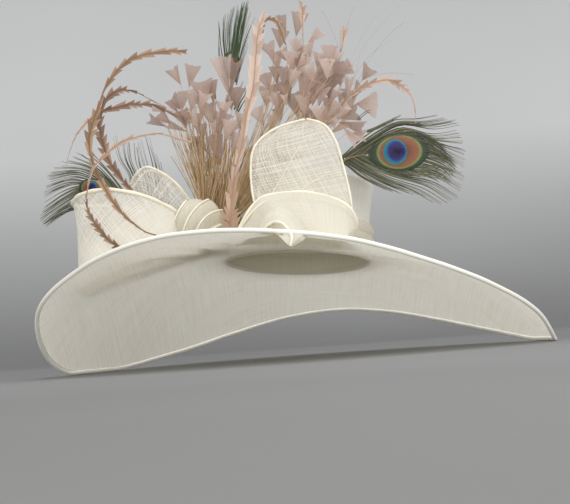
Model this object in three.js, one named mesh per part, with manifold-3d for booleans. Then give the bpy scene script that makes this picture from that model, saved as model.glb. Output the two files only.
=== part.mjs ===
// A wide-brim dress hat of open straw weave, trimmed with a bow, plumes and peacock feathers.
// Millimetres, +Z up. The hat stands by itself on the lowest stretches of its bound rim, and the
// front of the brim faces -Y. Every piece is a closed solid in a mesh of its own.

import * as THREE from "three";
import { mergeVertices } from "three/addons/utils/BufferGeometryUtils.js";
import Module from "manifold-3d";

const wasm = await Module();
wasm.setup();

// General sizes
const wall = 1.8; // one layer of the stiffened weave
const gap = 0.3; // clearance between pieces that lie on each other
const seatSink = 0.5; // how deep a seated piece would reach into its seat before it is trimmed
const seatClear = 2 * gap; // lower edge of a standing piece above the brim's face
const degree = Math.PI / 180;
const smallStep = 1e-3; // share of a path or sheet used to find its direction
const weldDistance = 1e-3;

// Brim: a ring from the head opening out to a waved rim
const rimRadius = 300;
const rimHeight = 142; // highest point of the rim above the surface that the hat stands on
const rimCentre = new THREE.Vector2(8, 0);
const edgeRadius = 2.6; // bound edge, with the wire inside it
const edgeSides = 6;
const edgeCorner = edgeRadius / Math.cos(Math.PI / edgeSides);
const brimTurns = 64;
const brimRings = 5;
const collarShare = 0.05; // flat collar round the opening, as a share of the brim's width
const lobeCurl = 1.7; // how late the brim bends down where it droops
const touchDown = 0.035; // how softly the rim comes down to the surface, as a share of rimHeight

// Rows go round the rim from +X through the back: radius and height as shares of
// rimRadius and rimHeight. A height below zero is a stretch that lies on the surface.
const rimRows = [
  { radius: 1.027, height: -0.01 },
  { radius: 0.973, height: 0.07 },
  { radius: 0.953, height: 0.155 },
  { radius: 0.94, height: 0.26 },
  { radius: 0.937, height: 0.365 },
  { radius: 0.947, height: 0.42 },
  { radius: 0.95, height: 0.385 },
  { radius: 0.93, height: 0.275 },
  { radius: 0.887, height: 0.16 },
  { radius: 0.835, height: 0.085 },
  { radius: 0.795, height: 0.03 },
  { radius: 0.79, height: -0.012 },
  { radius: 0.862, height: -0.03 },
  { radius: 0.99, height: 0.185 },
  { radius: 1.072, height: 0.56 },
  { radius: 1.03, height: 0.835 },
  { radius: 0.99, height: 0.975 },
  { radius: 0.97, height: 1.0 },
  { radius: 0.967, height: 0.955 },
  { radius: 0.977, height: 0.86 },
  { radius: 0.997, height: 0.695 },
  { radius: 1.033, height: 0.5 },
  { radius: 1.07, height: 0.265 },
  { radius: 1.066, height: -0.012 },
];

// Soft dents of the brim: direction, place across the brim, depth (share of dentDepth) and spread
const dentDepth = 7;
const dentRise = 8; // how fast a dent starts past the collar
const dentEnd = 4; // how fast it ends before the rim
const dentNarrow = 2; // how narrow it is across the brim
const dentRows = [
  { angle: 196, across: 0.3, depth: 1, spread: 17 },
  { angle: 226, across: 0.35, depth: -0.8, spread: 15 },
  { angle: 318, across: 0.4, depth: 0.6, spread: 20 },
];

// Crown: flared wall and flat top over the head opening, leaning back and to one side
const crownSeat = new THREE.Vector3(25, 20, 117);
const leanBack = 5.6 * degree;
const leanSide = 4.2 * degree;
const openingHalfWidth = 88;
const openingHalfLength = 102;
const crownHeight = 98;
const crownSides = 32;
const crownWall = 2.4; // two layers of the weave
const topFlare = 0.9; // rows that are narrower than this belong to the flat top
const crownRows = [
  { flare: 1, up: 0 },
  { flare: 0.995, up: 0.3 },
  { flare: 1.012, up: 0.62 },
  { flare: 1.05, up: 0.88 },
  { flare: 1.045, up: 0.955 },
  { flare: 1.0, up: 0.995 },
  { flare: 0.5, up: 1.012 },
  { flare: 0, up: 1.016 },
];

// Gathered band round the foot of the crown
const sashHeight = 44;
const sashThickness = 6;
const sashRows = [
  { up: 0, stand: 0.4 },
  { up: 0.12, stand: 1 },
  { up: 0.36, stand: 0.85 },
  { up: 0.5, stand: 0.4 },
  { up: 0.64, stand: 0.9 },
  { up: 0.88, stand: 0.6 },
  { up: 1, stand: 0.25 },
];

// Knot of the bow
const knotPlace = new THREE.Vector2(-88, -102);
const knotHalfWidth = 32;
const knotHalfDepth = 26;
const knotHalfHeight = 29;
const knotWraps = 3;
const knotWrapDepth = 0.1; // share of the knot's radius
const knotTwist = 4; // how far the wraps wind from front to back
const knotSides = 20;
const knotRings = 12;
const knotWall = 3.5; // wound layers round a hollow middle, open where the knot sits on the brim

// Materials, one for each mesh
const colours = {
  weave: 0xf0ecdc,
  weaveWarm: 0xf2e9cf,
  binding: 0xf7f5ee,
  mauve: 0xaf968c,
  tan: 0xaf8764,
  pink: 0xd6b5a0,
  straw: 0xbe966a,
  green: 0x59603a,
};

const clothRough = 0.75;
const bindingRough = 0.6;
const featherRough = 0.8;
const peacockRough = 0.6;

function finish(colour, roughness) {
  return new THREE.MeshStandardMaterial({ color: colour, roughness, metalness: 0 });
}

// Columns of a table as smooth functions of a share 0..1 along its rows
function smooth(rows, closed = false) {
  const names = Object.keys(rows[0]);
  const curves = {};
  for (const name of names) {
    const points = rows.map((row) => new THREE.Vector3(row[name], 0, 0));
    curves[name] = new THREE.CatmullRomCurve3(points, closed, "catmullrom", 0.5);
  }
  return (share) => {
    const row = {};
    for (const name of names) {
      row[name] = curves[name].getPoint(THREE.MathUtils.clamp(share, 0, 1)).x;
    }
    return row;
  };
}

// A closed mesh whose faces point out, from rings of corner numbers
function closedGeometry(positions, index) {
  const geometry = new THREE.BufferGeometry();
  geometry.setAttribute("position", new THREE.Float32BufferAttribute(positions, 3));
  geometry.setIndex(index);
  return facingOut(geometry);
}

function facingOut(geometry) {
  const place = geometry.getAttribute("position");
  const index = Array.from(geometry.index.array);
  const a = new THREE.Vector3();
  const b = new THREE.Vector3();
  const c = new THREE.Vector3();
  let volume = 0;
  for (let i = 0; i < index.length; i += 3) {
    a.fromBufferAttribute(place, index[i]);
    b.fromBufferAttribute(place, index[i + 1]);
    c.fromBufferAttribute(place, index[i + 2]);
    volume += a.dot(b.cross(c));
  }
  if (volume < 0) {
    for (let i = 0; i < index.length; i += 3) {
      [index[i + 1], index[i + 2]] = [index[i + 2], index[i + 1]];
    }
    geometry.setIndex(index);
  }
  return geometry;
}

// A sheet of even thickness about surface(u, v), u along and v across, both 0..1
function sheet(surface, thickness, along, across, ring = false) {
  const rows = ring ? along : along + 1;
  const positions = [];
  const columns = across + 1;
  for (const side of [1, -1]) {
    for (let i = 0; i < rows; i++) {
      for (let j = 0; j < columns; j++) {
        const u = i / along;
        const v = j / across;
        const here = surface(u, v);
        const du = surface(u + smallStep, v).sub(surface(u - smallStep, v));
        const dv = surface(u, v + smallStep).sub(surface(u, v - smallStep));
        const normal = du.cross(dv).normalize();
        here.addScaledVector(normal, (side * thickness) / 2);
        positions.push(here.x, here.y, here.z);
      }
    }
  }
  const corner = (side, i, j) => side * rows * columns + (i % rows) * columns + j;
  const index = [];
  const quad = (a, b, c, d) => index.push(a, b, c, a, c, d);
  for (let i = 0; i < along; i++) {
    for (let j = 0; j < across; j++) {
      quad(corner(0, i, j), corner(0, i + 1, j), corner(0, i + 1, j + 1), corner(0, i, j + 1));
      quad(corner(1, i, j), corner(1, i, j + 1), corner(1, i + 1, j + 1), corner(1, i + 1, j));
    }
    quad(corner(0, i, 0), corner(1, i, 0), corner(1, i + 1, 0), corner(0, i + 1, 0));
    quad(corner(0, i, across), corner(0, i + 1, across), corner(1, i + 1, across), corner(1, i, across));
  }
  if (!ring) {
    for (let j = 0; j < across; j++) {
      quad(corner(0, 0, j), corner(0, 0, j + 1), corner(1, 0, j + 1), corner(1, 0, j));
      quad(corner(0, along, j), corner(1, along, j), corner(1, along, j + 1), corner(0, along, j + 1));
    }
  }
  return closedGeometry(positions, index);
}

// A solid through rings of points, closed on itself or with flat ends
function throughRings(rings, closed = false) {
  const sides = rings[0].length;
  const positions = rings.flat().flatMap((point) => [point.x, point.y, point.z]);
  const index = [];
  const spans = closed ? rings.length : rings.length - 1;
  for (let i = 0; i < spans; i++) {
    const next = (i + 1) % rings.length;
    for (let j = 0; j < sides; j++) {
      const a = i * sides + j;
      const b = i * sides + ((j + 1) % sides);
      const c = next * sides + ((j + 1) % sides);
      const d = next * sides + j;
      index.push(a, b, c, a, c, d);
    }
  }
  if (!closed) {
    const last = (rings.length - 1) * sides;
    for (let j = 1; j < sides - 1; j++) {
      index.push(0, j + 1, j);
      index.push(last, last + j, last + j + 1);
    }
  }
  return closedGeometry(positions, index);
}

// Joins and cuts
function solidOf(geometry) {
  const bare = geometry.clone();
  bare.deleteAttribute("normal");
  bare.deleteAttribute("uv");
  const merged = mergeVertices(bare, weldDistance);
  return new wasm.Manifold(
    new wasm.Mesh({
      numProp: 3,
      vertProperties: merged.attributes.position.array,
      triVerts: new Uint32Array(merged.index.array),
    }),
  );
}

function geometryOf(solid) {
  const mesh = solid.getMesh();
  const geometry = new THREE.BufferGeometry();
  geometry.setAttribute("position", new THREE.BufferAttribute(mesh.vertProperties, 3));
  geometry.setIndex(new THREE.BufferAttribute(mesh.triVerts, 1));
  return geometry;
}

function trimmed(geometry, ...tools) {
  let solid = solidOf(geometry);
  for (const tool of tools) solid = solid.subtract(solidOf(tool));
  return geometryOf(solid);
}

function fused(geometries) {
  let solid = solidOf(geometries[0]);
  for (const geometry of geometries.slice(1)) solid = solid.add(solidOf(geometry));
  return geometryOf(solid);
}

// Brim
const seatMatrix = new THREE.Matrix4().compose(
  crownSeat,
  new THREE.Quaternion().setFromEuler(new THREE.Euler(-leanBack, leanSide, 0)),
  new THREE.Vector3(1, 1, 1),
);
const rimAt = smooth(rimRows, true);

function openingPoint(turn, spread = 1) {
  const angle = turn * 2 * Math.PI;
  const point = new THREE.Vector3(
    Math.cos(angle) * openingHalfWidth * spread,
    Math.sin(angle) * openingHalfLength * spread,
    0,
  );
  return point.applyMatrix4(seatMatrix);
}

// Middle of the bound edge
function rimPoint(turn) {
  const share = turn - Math.floor(turn);
  const row = rimAt(share);
  const angle = share * 2 * Math.PI;
  const lift = Math.max(row.height, 0);
  const rise = lift > 0 ? (lift * lift) / (lift + touchDown * (1 - lift)) : 0;
  return new THREE.Vector3(
    rimCentre.x + Math.cos(angle) * row.radius * rimRadius,
    rimCentre.y + Math.sin(angle) * row.radius * rimRadius,
    rise * rimHeight + edgeRadius,
  );
}

function brimSurface(turn, across) {
  const inner = openingPoint(turn);
  const rim = rimPoint(turn);
  const width = Math.hypot(rim.x - inner.x, rim.y - inner.y);
  const collar = openingPoint(turn, 1 + (collarShare * width) / openingHalfWidth);
  const fall = Math.max(collar.z - rim.z, 0) / rimHeight;
  const bend = 1 + lobeCurl * fall;
  const slope = ((collar.z - rim.z) * bend) / width;
  const inset = (edgeCorner + gap) / (width * Math.hypot(1, slope));
  const share = across * (1 - inset);
  const point = inner.clone().lerp(rim, share);
  const past = Math.max(share - collarShare, 0) / (1 - collarShare);
  const level = inner.z + ((collar.z - inner.z) * Math.min(share, collarShare)) / collarShare;
  point.z = level + (rim.z - collar.z) * Math.pow(past, bend);
  const angle = (turn - Math.floor(turn)) * 360;
  for (const dent of dentRows) {
    const off = (angle - dent.angle) / dent.spread;
    const away = (past - dent.across) / dent.across;
    const edgeFade = Math.min(past * dentRise, 1) * Math.min((1 - past) * dentEnd, 1);
    const bell = Math.exp(-off * off - dentNarrow * away * away);
    point.z -= dentDepth * dent.depth * bell * edgeFade;
  }
  return point;
}

function brimGeometry(grow = 0) {
  return sheet(brimSurface, wall + 2 * grow, brimTurns, brimRings, true);
}

const searchTurn = 0.12;
const searchSteps = 40;

// Height of the middle of the brim's sheet over a place in plan
function brimHeight(x, y) {
  const centre = Math.atan2(y - crownSeat.y, x - crownSeat.x) / (2 * Math.PI);
  const side = (turn) => {
    const inner = openingPoint(turn);
    const outer = rimPoint(turn);
    return (outer.x - inner.x) * (y - inner.y) - (outer.y - inner.y) * (x - inner.x);
  };
  let before = centre - searchTurn;
  let after = centre + searchTurn;
  for (let i = 0; i < searchSteps; i++) {
    const half = (before + after) / 2;
    if (side(half) > 0) before = half;
    else after = half;
  }
  const inner = openingPoint(before);
  const outer = brimSurface(before, 1);
  const width = Math.hypot(outer.x - inner.x, outer.y - inner.y);
  const rings = (Math.hypot(x - inner.x, y - inner.y) / width) * brimRings;
  const ring = Math.min(Math.floor(rings), brimRings - 1);
  const near = brimSurface(before, ring / brimRings).z;
  const far = brimSurface(before, (ring + 1) / brimRings).z;
  return THREE.MathUtils.lerp(near, far, rings - ring);
}

// Bound edge: a hexagonal bead with a flat underside
function edgeGeometry() {
  const rings = [];
  for (let i = 0; i < brimTurns; i++) {
    const turn = i / brimTurns;
    const here = rimPoint(turn);
    const ahead = rimPoint(turn + smallStep).sub(rimPoint(turn - smallStep));
    const out = new THREE.Vector3(ahead.y, -ahead.x, 0).normalize();
    const up = new THREE.Vector3(0, 0, 1);
    const ring = [];
    for (let j = 0; j < edgeSides; j++) {
      const angle = (j / edgeSides) * 2 * Math.PI;
      const corner = here.clone().addScaledVector(out, Math.cos(angle) * edgeCorner);
      ring.push(corner.addScaledVector(up, Math.sin(angle) * edgeCorner));
    }
    rings.push(ring);
  }
  return throughRings(rings, true);
}

// Crown and band, turned about their own axis and stretched to the opening
const crownRadius = (openingHalfWidth + openingHalfLength) / 2;
const crownLift = wall / 2 + gap;

// Radius of the crown's side at a share of its height
function crownOuter(up) {
  const side = crownRows.filter((row) => row.flare > topFlare);
  const above = Math.max(side.findIndex((row) => row.up >= up), 1);
  const from = side[above - 1];
  const to = side[above];
  const flare = THREE.MathUtils.mapLinear(up, from.up, to.up, from.flare, to.flare);
  return flare * crownRadius;
}

function turned(profile) {
  const geometry = new THREE.LatheGeometry(profile, crownSides);
  geometry.rotateX(Math.PI / 2);
  geometry.scale(openingHalfWidth / crownRadius, openingHalfLength / crownRadius, 1);
  geometry.deleteAttribute("normal");
  geometry.deleteAttribute("uv");
  return facingOut(mergeVertices(geometry, weldDistance));
}

function crownGeometry() {
  const outer = [];
  const inner = [];
  for (const row of crownRows) {
    const radius = row.flare * crownRadius;
    outer.push(new THREE.Vector2(radius, crownLift + row.up * crownHeight));
    const innerUp = crownLift + row.up * (crownHeight - crownWall);
    inner.push(new THREE.Vector2(Math.max(radius - crownWall, 0), innerUp));
  }
  inner.reverse();
  return turned([...outer, ...inner, outer[0].clone()]);
}

function sashGeometry() {
  const outer = [];
  const inner = [];
  for (const row of sashRows) {
    const up = crownLift + gap + row.up * sashHeight;
    const against = crownOuter((row.up * sashHeight) / crownHeight) + gap + seatSink;
    outer.push(new THREE.Vector2(against + row.stand * sashThickness, up));
    inner.push(new THREE.Vector2(against, up));
  }
  inner.reverse();
  return turned([...outer, ...inner, outer[0].clone()]);
}

// Bow: standing bands of the same weave, each in rows from the knot round to the knot again
const bandWall = 1.2; // one layer of the weave
const bandSteps = 22;
const bandAcross = 3;

// out: along the loop from its foot, deep: front (-) to back (+), high: upper edge
const leftFront = { x: -88, y: -112, length: 137, depth: 64, height: 75, drift: -17 };
const leftFrontRows = [
  { out: 0.06, deep: -0.22, high: 0.53 },
  { out: 0.22, deep: -0.4, high: 0.71 },
  { out: 0.45, deep: -0.5, high: 0.9 },
  { out: 0.7, deep: -0.5, high: 1.0 },
  { out: 0.9, deep: -0.42, high: 0.96 },
  { out: 1.0, deep: -0.08, high: 0.86 },
  { out: 0.97, deep: 0.32, high: 0.83 },
  { out: 0.8, deep: 0.5, high: 0.83 },
  { out: 0.5, deep: 0.42, high: 0.7 },
  { out: 0.15, deep: 0.25, high: 0.45 },
];
const leftBack = { x: -95, y: -60, length: 72, depth: 28, height: 106, drift: 0 };
const leftBackRows = [
  { out: 0.0, deep: -0.2, high: 0.55 },
  { out: 0.3, deep: -0.5, high: 0.83 },
  { out: 0.7, deep: -0.5, high: 1.0 },
  { out: 0.95, deep: -0.2, high: 0.9 },
  { out: 1.0, deep: 0.2, high: 0.8 },
  { out: 0.7, deep: 0.5, high: 0.92 },
  { out: 0.3, deep: 0.5, high: 0.75 },
  { out: 0.02, deep: 0.25, high: 0.5 },
];

// The tall loop goes up in front, over, and down behind; left and right are its side edges
const tall = { x: 33, y: -119, width: 118, depth: 38, height: 143 };
const tallRows = [
  { up: 0.0, deep: -0.5, left: -0.36, right: 0.46 },
  { up: 0.35, deep: -0.52, left: -0.49, right: 0.5 },
  { up: 0.66, deep: -0.5, left: -0.48, right: 0.45 },
  { up: 0.82, deep: -0.42, left: -0.4, right: 0.38 },
  { up: 0.94, deep: -0.24, left: -0.2, right: 0.28 },
  { up: 1.0, deep: 0.0, left: 0.02, right: 0.17 },
  { up: 0.94, deep: 0.26, left: -0.16, right: 0.25 },
  { up: 0.8, deep: 0.42, left: -0.36, right: 0.34 },
  { up: 0.6, deep: 0.5, left: -0.42, right: 0.4 },
  { up: 0.3, deep: 0.5, left: -0.4, right: 0.42 },
  { up: 0.0, deep: 0.45, left: -0.3, right: 0.4 },
];

// The low loop arches from side to side. It narrows and comes down to the brim at the front.
const low = { x: 25, back: -152, length: 84, width: 134, height: 55 };
const lowAcross = 4;
const lowAlongRows = [
  { ahead: 0, wide: 1, high: 1, side: 0 },
  { ahead: 0.2, wide: 0.97, high: 0.93, side: 0.01 },
  { ahead: 0.45, wide: 0.88, high: 0.8, side: 0.03 },
  { ahead: 0.7, wide: 0.78, high: 0.6, side: 0.06 },
  { ahead: 0.9, wide: 0.66, high: 0.3, side: 0.08 },
  { ahead: 1, wide: 0.58, high: 0.06, side: 0.09 },
];
const lowRows = [
  { side: -0.5, up: 0.0 },
  { side: -0.455, up: 0.35 },
  { side: -0.33, up: 0.78 },
  { side: -0.19, up: 0.93 },
  { side: 0.1, up: 1.0 },
  { side: 0.39, up: 0.88 },
  { side: 0.49, up: 0.6 },
  { side: 0.46, up: 0.25 },
  { side: 0.38, up: 0.0 },
];

// The curl lies on the brim in front of the low loop and hangs over the rim
const curl = { x: 3, reach: 60, width: 30, rise: 11 };
const curlOverhang = 9;
const curlSteps = 10;
const curlAcross = 4;
const curlRows = [
  { ahead: 0.0, up: 0.0, half: 0.36, arch: 0.5 },
  { ahead: 0.45, up: 0.55, half: 0.48, arch: 0.8 },
  { ahead: 0.8, up: 0.75, half: 0.5, arch: 0.85 },
  { ahead: 1.0, up: 0.45, half: 0.42, arch: 0.7 },
  { ahead: 1.03, up: -0.45, half: 0.28, arch: 0.4 },
  { ahead: 1.02, up: -1.2, half: 0.12, arch: 0.15 },
];

// Feathers: paths from the knot's foot as shares of plumeReach, half widths in shares of
// featherHalf. side is +X, ahead is -Y, up is +Z.
const plumeReach = 230;
const featherHalf = 5;
const featherThickness = 1.8;
const notchShare = 0.5; // width left between two notches
const featherSteps = 26;
const tallFeatherSteps = 32;
const branchSteps = 8;
const curledRows = {
  feather_curl_high: [
    { side: -0.1, ahead: 0.19, up: 0.02, half: 0.5 },
    { side: -0.2, ahead: 0.25, up: 0.07, half: 0.6 },
    { side: -0.33, ahead: 0.3, up: 0.18, half: 0.9 },
    { side: -0.44, ahead: 0.32, up: 0.36, half: 1.1 },
    { side: -0.49, ahead: 0.32, up: 0.56, half: 1.2 },
    { side: -0.44, ahead: 0.32, up: 0.72, half: 1.2 },
    { side: -0.35, ahead: 0.32, up: 0.88, half: 1.1 },
    { side: -0.2, ahead: 0.32, up: 0.97, half: 0.9 },
    { side: 0.0, ahead: 0.32, up: 0.975, half: 0.3 },
  ],
  feather_curl_low: [
    { side: -0.12, ahead: 0.17, up: 0.05, half: 0.5 },
    { side: -0.24, ahead: 0.3, up: 0.02, half: 0.6 },
    { side: -0.36, ahead: 0.37, up: 0.03, half: 0.8 },
    { side: -0.475, ahead: 0.39, up: 0.15, half: 1.0 },
    { side: -0.52, ahead: 0.39, up: 0.3, half: 1.1 },
    { side: -0.48, ahead: 0.38, up: 0.43, half: 1.1 },
    { side: -0.37, ahead: 0.37, up: 0.52, half: 1.0 },
    { side: -0.21, ahead: 0.36, up: 0.575, half: 0.8 },
    { side: 0.0, ahead: 0.36, up: 0.52, half: 0.3 },
  ],
  feather_curl_middle: [
    { side: -0.12, ahead: 0.045, up: 0.17, half: 0.5 },
    { side: -0.22, ahead: 0.045, up: 0.24, half: 0.5 },
    { side: -0.3, ahead: 0.045, up: 0.31, half: 0.7 },
    { side: -0.38, ahead: 0.06, up: 0.43, half: 1.0 },
    { side: -0.43, ahead: 0.08, up: 0.57, half: 1.1 },
    { side: -0.44, ahead: 0.1, up: 0.68, half: 1.1 },
    { side: -0.38, ahead: 0.1, up: 0.73, half: 1.0 },
    { side: -0.17, ahead: 0.1, up: 0.735, half: 0.8 },
    { side: -0.05, ahead: 0.1, up: 0.66, half: 0.3 },
  ],
};
const branchRows = [
  { side: -0.485, ahead: 0.32, up: 0.62, half: 0.5 },
  { side: -0.53, ahead: 0.31, up: 0.66, half: 0.35 },
  { side: -0.6, ahead: 0.31, up: 0.545, half: 0.3 },
  { side: -0.625, ahead: 0.31, up: 0.46, half: 0.3 },
  { side: -0.64, ahead: 0.31, up: 0.36, half: 0.2 },
];
const tallFeatherRows = [
  { side: 0.15, ahead: 0.2, up: 0.03, half: 0.6 },
  { side: 0.175, ahead: 0.205, up: 0.2, half: 1.6 },
  { side: 0.2, ahead: 0.205, up: 0.37, half: 1.9 },
  { side: 0.24, ahead: 0.205, up: 0.51, half: 1.1 },
  { side: 0.285, ahead: 0.205, up: 0.67, half: 1.3 },
  { side: 0.32, ahead: 0.205, up: 0.8, half: 1.9 },
  { side: 0.35, ahead: 0.205, up: 0.96, half: 1.6 },
  { side: 0.37, ahead: 0.205, up: 1.06, half: 1.2 },
  { side: 0.41, ahead: 0.205, up: 1.165, half: 0.3 },
];

// Peacock feathers, with the place of the eye as a share along the path
const eyeRadius = 20;
const eyeThickness = 2.6;
const eyeSides = 14;
const peacockSteps = 30;
const peacockNotch = 0.72;
const peacockRows = {
  peacock_right: [
    { side: 0.09, ahead: -0.028, up: 0.14, half: 0.25 },
    { side: 0.2, ahead: -0.028, up: 0.28, half: 0.25 },
    { side: 0.5, ahead: -0.028, up: 0.395, half: 0.25 },
    { side: 0.765, ahead: -0.03, up: 0.435, half: 0.7 },
    { side: 0.9, ahead: -0.13, up: 0.45, half: 5.5 },
    { side: 1.05, ahead: -0.14, up: 0.455, half: 8.6 },
    { side: 1.2, ahead: -0.145, up: 0.43, half: 7.4 },
    { side: 1.36, ahead: -0.15, up: 0.39, half: 2.5 },
  ],
  peacock_left: [
    { side: 0.0, ahead: -0.29, up: 0.03, half: 0.25 },
    { side: -0.06, ahead: -0.29, up: 0.2, half: 0.25 },
    { side: -0.25, ahead: -0.28, up: 0.34, half: 0.5 },
    { side: -0.38, ahead: -0.28, up: 0.385, half: 4.5 },
    { side: -0.52, ahead: -0.28, up: 0.385, half: 7.6 },
    { side: -0.66, ahead: -0.28, up: 0.345, half: 7.0 },
    { side: -0.8, ahead: -0.28, up: 0.28, half: 2.4 },
  ],
  peacock_top: [
    { side: 0.07, ahead: -0.29, up: 0.03, half: 0.25 },
    { side: 0.11, ahead: -0.29, up: 0.35, half: 0.25 },
    { side: 0.2, ahead: -0.29, up: 0.65, half: 0.4 },
    { side: 0.25, ahead: -0.29, up: 0.85, half: 1.6 },
    { side: 0.27, ahead: -0.29, up: 1.0, half: 3.2 },
    { side: 0.29, ahead: -0.29, up: 1.14, half: 2.8 },
    { side: 0.31, ahead: -0.29, up: 1.29, half: 0.6 },
  ],
};
const eyeShare = { peacock_right: 0.715, peacock_left: 0.67, peacock_top: 0.76 };

// Plumes: stems that fan out of a bound head, each with a fan-shaped tip
const headRadius = 4.5;
const headSides = 6;
const stemRadius = 1;
const stemSides = 3;
const stemTaper = 0.7; // width left at the end of a stem
const fanSize = 17;
const fanThickness = 1.2;
const fanGrowth = { least: 0.8, more: 0.35 }; // the outer tips are the larger ones
const fanOutline = [
  { side: 0, up: -0.2 },
  { side: 0.45, up: 0.7 },
  { side: 0, up: 0.5 },
  { side: -0.45, up: 0.7 },
];
const plumes = {
  plume_left: { side: 0.01, ahead: -0.143, rise: 48, tips: 16, from: -18, to: 32, near: 0.36, far: 0.74 },
  plume_right: { side: 0.165, ahead: -0.07, rise: 48, tips: 19, from: 14, to: 60, near: 0.62, far: 1.12 },
};
const plumeLayer = 4.5; // how far the tips stand to the front and back of their plume
const turnShare = 0.755; // even scatter of the tips across their fan and along their reach
const outShare = 0.57;
const layerTurn = 2.4; // change of layer from one tip to the next
const tiltTurn = 1.7; // change of tilt from one tip to the next
const tiltMost = 0.5; // radians

// Spray of bare straw strands behind the plumes
const spray = { side: 0.08, ahead: -0.2, rise: 62, strands: 14, from: -24, to: 44, reach: 140 };
const strandRadius = 1.1;
const strandLengths = { middle: 0.72, change: 0.28, turn: 2.1 };

const knotFoot = new THREE.Vector3(knotPlace.x, knotPlace.y, brimHeight(knotPlace.x, knotPlace.y));

function standingLoop(loop, rows) {
  const at = smooth(rows);
  return (u, v) => {
    const row = at(u);
    const x = loop.x - row.out * loop.length;
    const y = loop.y + row.deep * loop.depth + row.out * loop.drift;
    const foot = brimHeight(x, y) + wall / 2 + seatClear;
    const top = knotFoot.z + row.high * loop.height;
    return new THREE.Vector3(x, y, THREE.MathUtils.lerp(foot, top, v));
  };
}

function tallLoop(u, v) {
  const row = tallAt(u);
  const x = tall.x + THREE.MathUtils.lerp(row.left, row.right, v) * tall.width;
  const y = tall.y + row.deep * tall.depth;
  const foot = brimHeight(x, y) + wall / 2 + seatClear;
  const top = knotFoot.z + tall.height;
  return new THREE.Vector3(x, y, THREE.MathUtils.lerp(foot, top, row.up));
}

function lowLoop(u, v) {
  const row = lowAt(u);
  const along = lowAlongAt(v);
  const x = low.x + (row.side * along.wide + along.side) * low.width;
  const y = low.back - along.ahead * low.length;
  const foot = brimHeight(x, y) + wall / 2 + seatClear;
  return new THREE.Vector3(x, y, foot + row.up * along.high * low.height);
}

const tallAt = smooth(tallRows);
const lowAt = smooth(lowRows);
const lowAlongAt = smooth(lowAlongRows);
const curlAt = smooth(curlRows);
const frontTurn = 0.75;
const curlRim = rimPoint(frontTurn);

function curlSurface(u, v) {
  const row = curlAt(u);
  const x = curl.x + (v - 0.5) * 2 * row.half * curl.width;
  const y = curlRim.y - curlOverhang + (1 - row.ahead) * curl.reach;
  const seat = brimHeight(x, Math.max(y, curlRim.y + edgeCorner)) + (wall + bandWall) / 2 + gap;
  const rise = row.up + Math.sin(Math.PI * v) * row.arch;
  return new THREE.Vector3(x, y, seat + rise * curl.rise);
}

function knotGeometry(grow = 0) {
  const geometry = new THREE.SphereGeometry(1, knotSides, knotRings);
  const seat = knotFoot.z + wall / 2 - seatSink;
  const centreUp = seat + knotHalfHeight * (1 + knotWrapDepth);
  const place = geometry.getAttribute("position");
  const point = new THREE.Vector3();
  for (let i = 0; i < place.count; i++) {
    point.fromBufferAttribute(place, i);
    const round = Math.atan2(point.z, point.x);
    const wave = Math.cos(knotWraps * round + knotTwist * point.y) * (1 - point.y * point.y);
    const swell = 1 + knotWrapDepth * wave;
    place.setXYZ(
      i,
      knotPlace.x + point.x * (knotHalfWidth * swell + grow),
      knotPlace.y + point.y * (knotHalfDepth + grow),
      centreUp + point.z * (knotHalfHeight * swell + grow),
    );
  }
  return geometry;
}

// A row of a feather's table as a place
function plumePlace(row) {
  const place = new THREE.Vector3(row.side, -row.ahead, row.up);
  return place.multiplyScalar(plumeReach).add(knotFoot);
}

// The same path with its first point on the brim's face
function seatedRows(rows) {
  const [root, ...rest] = rows;
  const x = knotFoot.x + root.side * plumeReach;
  const y = knotFoot.y - root.ahead * plumeReach;
  const up = (brimHeight(x, y) + wall / 2 + gap / 2 - knotFoot.z) / plumeReach;
  return [{ ...root, up }, ...rest];
}

// A flat notched vane along a path, thickest at its quill
function blade(rows, steps, notch, seated = false) {
  const at = smooth(seated ? seatedRows(rows) : rows);
  const place = (share) => plumePlace(at(share));
  const rings = [];
  for (let i = 0; i <= steps; i++) {
    const share = i / steps;
    const here = place(share);
    const after = place(Math.min(share + smallStep, 1));
    const ahead = after.sub(place(Math.max(share - smallStep, 0)));
    const across = new THREE.Vector3(ahead.z, 0, -ahead.x).normalize();
    const reach = Math.max(at(share).half * featherHalf, featherThickness / 2) * (i % 2 ? 1 : notch);
    const front = new THREE.Vector3(0, -featherThickness / 2, 0);
    rings.push([
      here.clone().addScaledVector(across, reach),
      here.clone().add(front),
      here.clone().addScaledVector(across, -reach),
      here.clone().sub(front),
    ]);
  }
  return throughRings(rings);
}

function eyeDisc(rows, share) {
  const row = smooth(rows)(share);
  const disc = new THREE.CylinderGeometry(eyeRadius, eyeRadius, eyeThickness, eyeSides);
  const centre = plumePlace(row);
  return disc.translate(centre.x, centre.y, centre.z);
}

function rod(from, to, radius, sides) {
  const along = to.clone().sub(from).normalize();
  const across = new THREE.Vector3(0, 1, 0).cross(along).normalize();
  const other = along.clone().cross(across);
  const ring = (centre, reach) =>
    Array.from({ length: sides }, (_, j) => {
      const angle = (j / sides) * 2 * Math.PI;
      const corner = centre.clone().addScaledVector(across, Math.cos(angle) * reach);
      return corner.addScaledVector(other, Math.sin(angle) * reach);
    });
  return throughRings([ring(from, radius), ring(to, radius * stemTaper)]);
}

// A bound head that stands on the brim, and the place that its stems come out of
function boundHead(place) {
  const x = knotFoot.x + place.side * plumeReach;
  const y = knotFoot.y - place.ahead * plumeReach;
  const foot = new THREE.Vector3(x, y, brimHeight(x, y) + wall / 2 + seatClear);
  const top = foot.clone().add(new THREE.Vector3(0, 0, place.rise));
  return { foot, top, solid: rod(foot, top, headRadius, headSides) };
}

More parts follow.
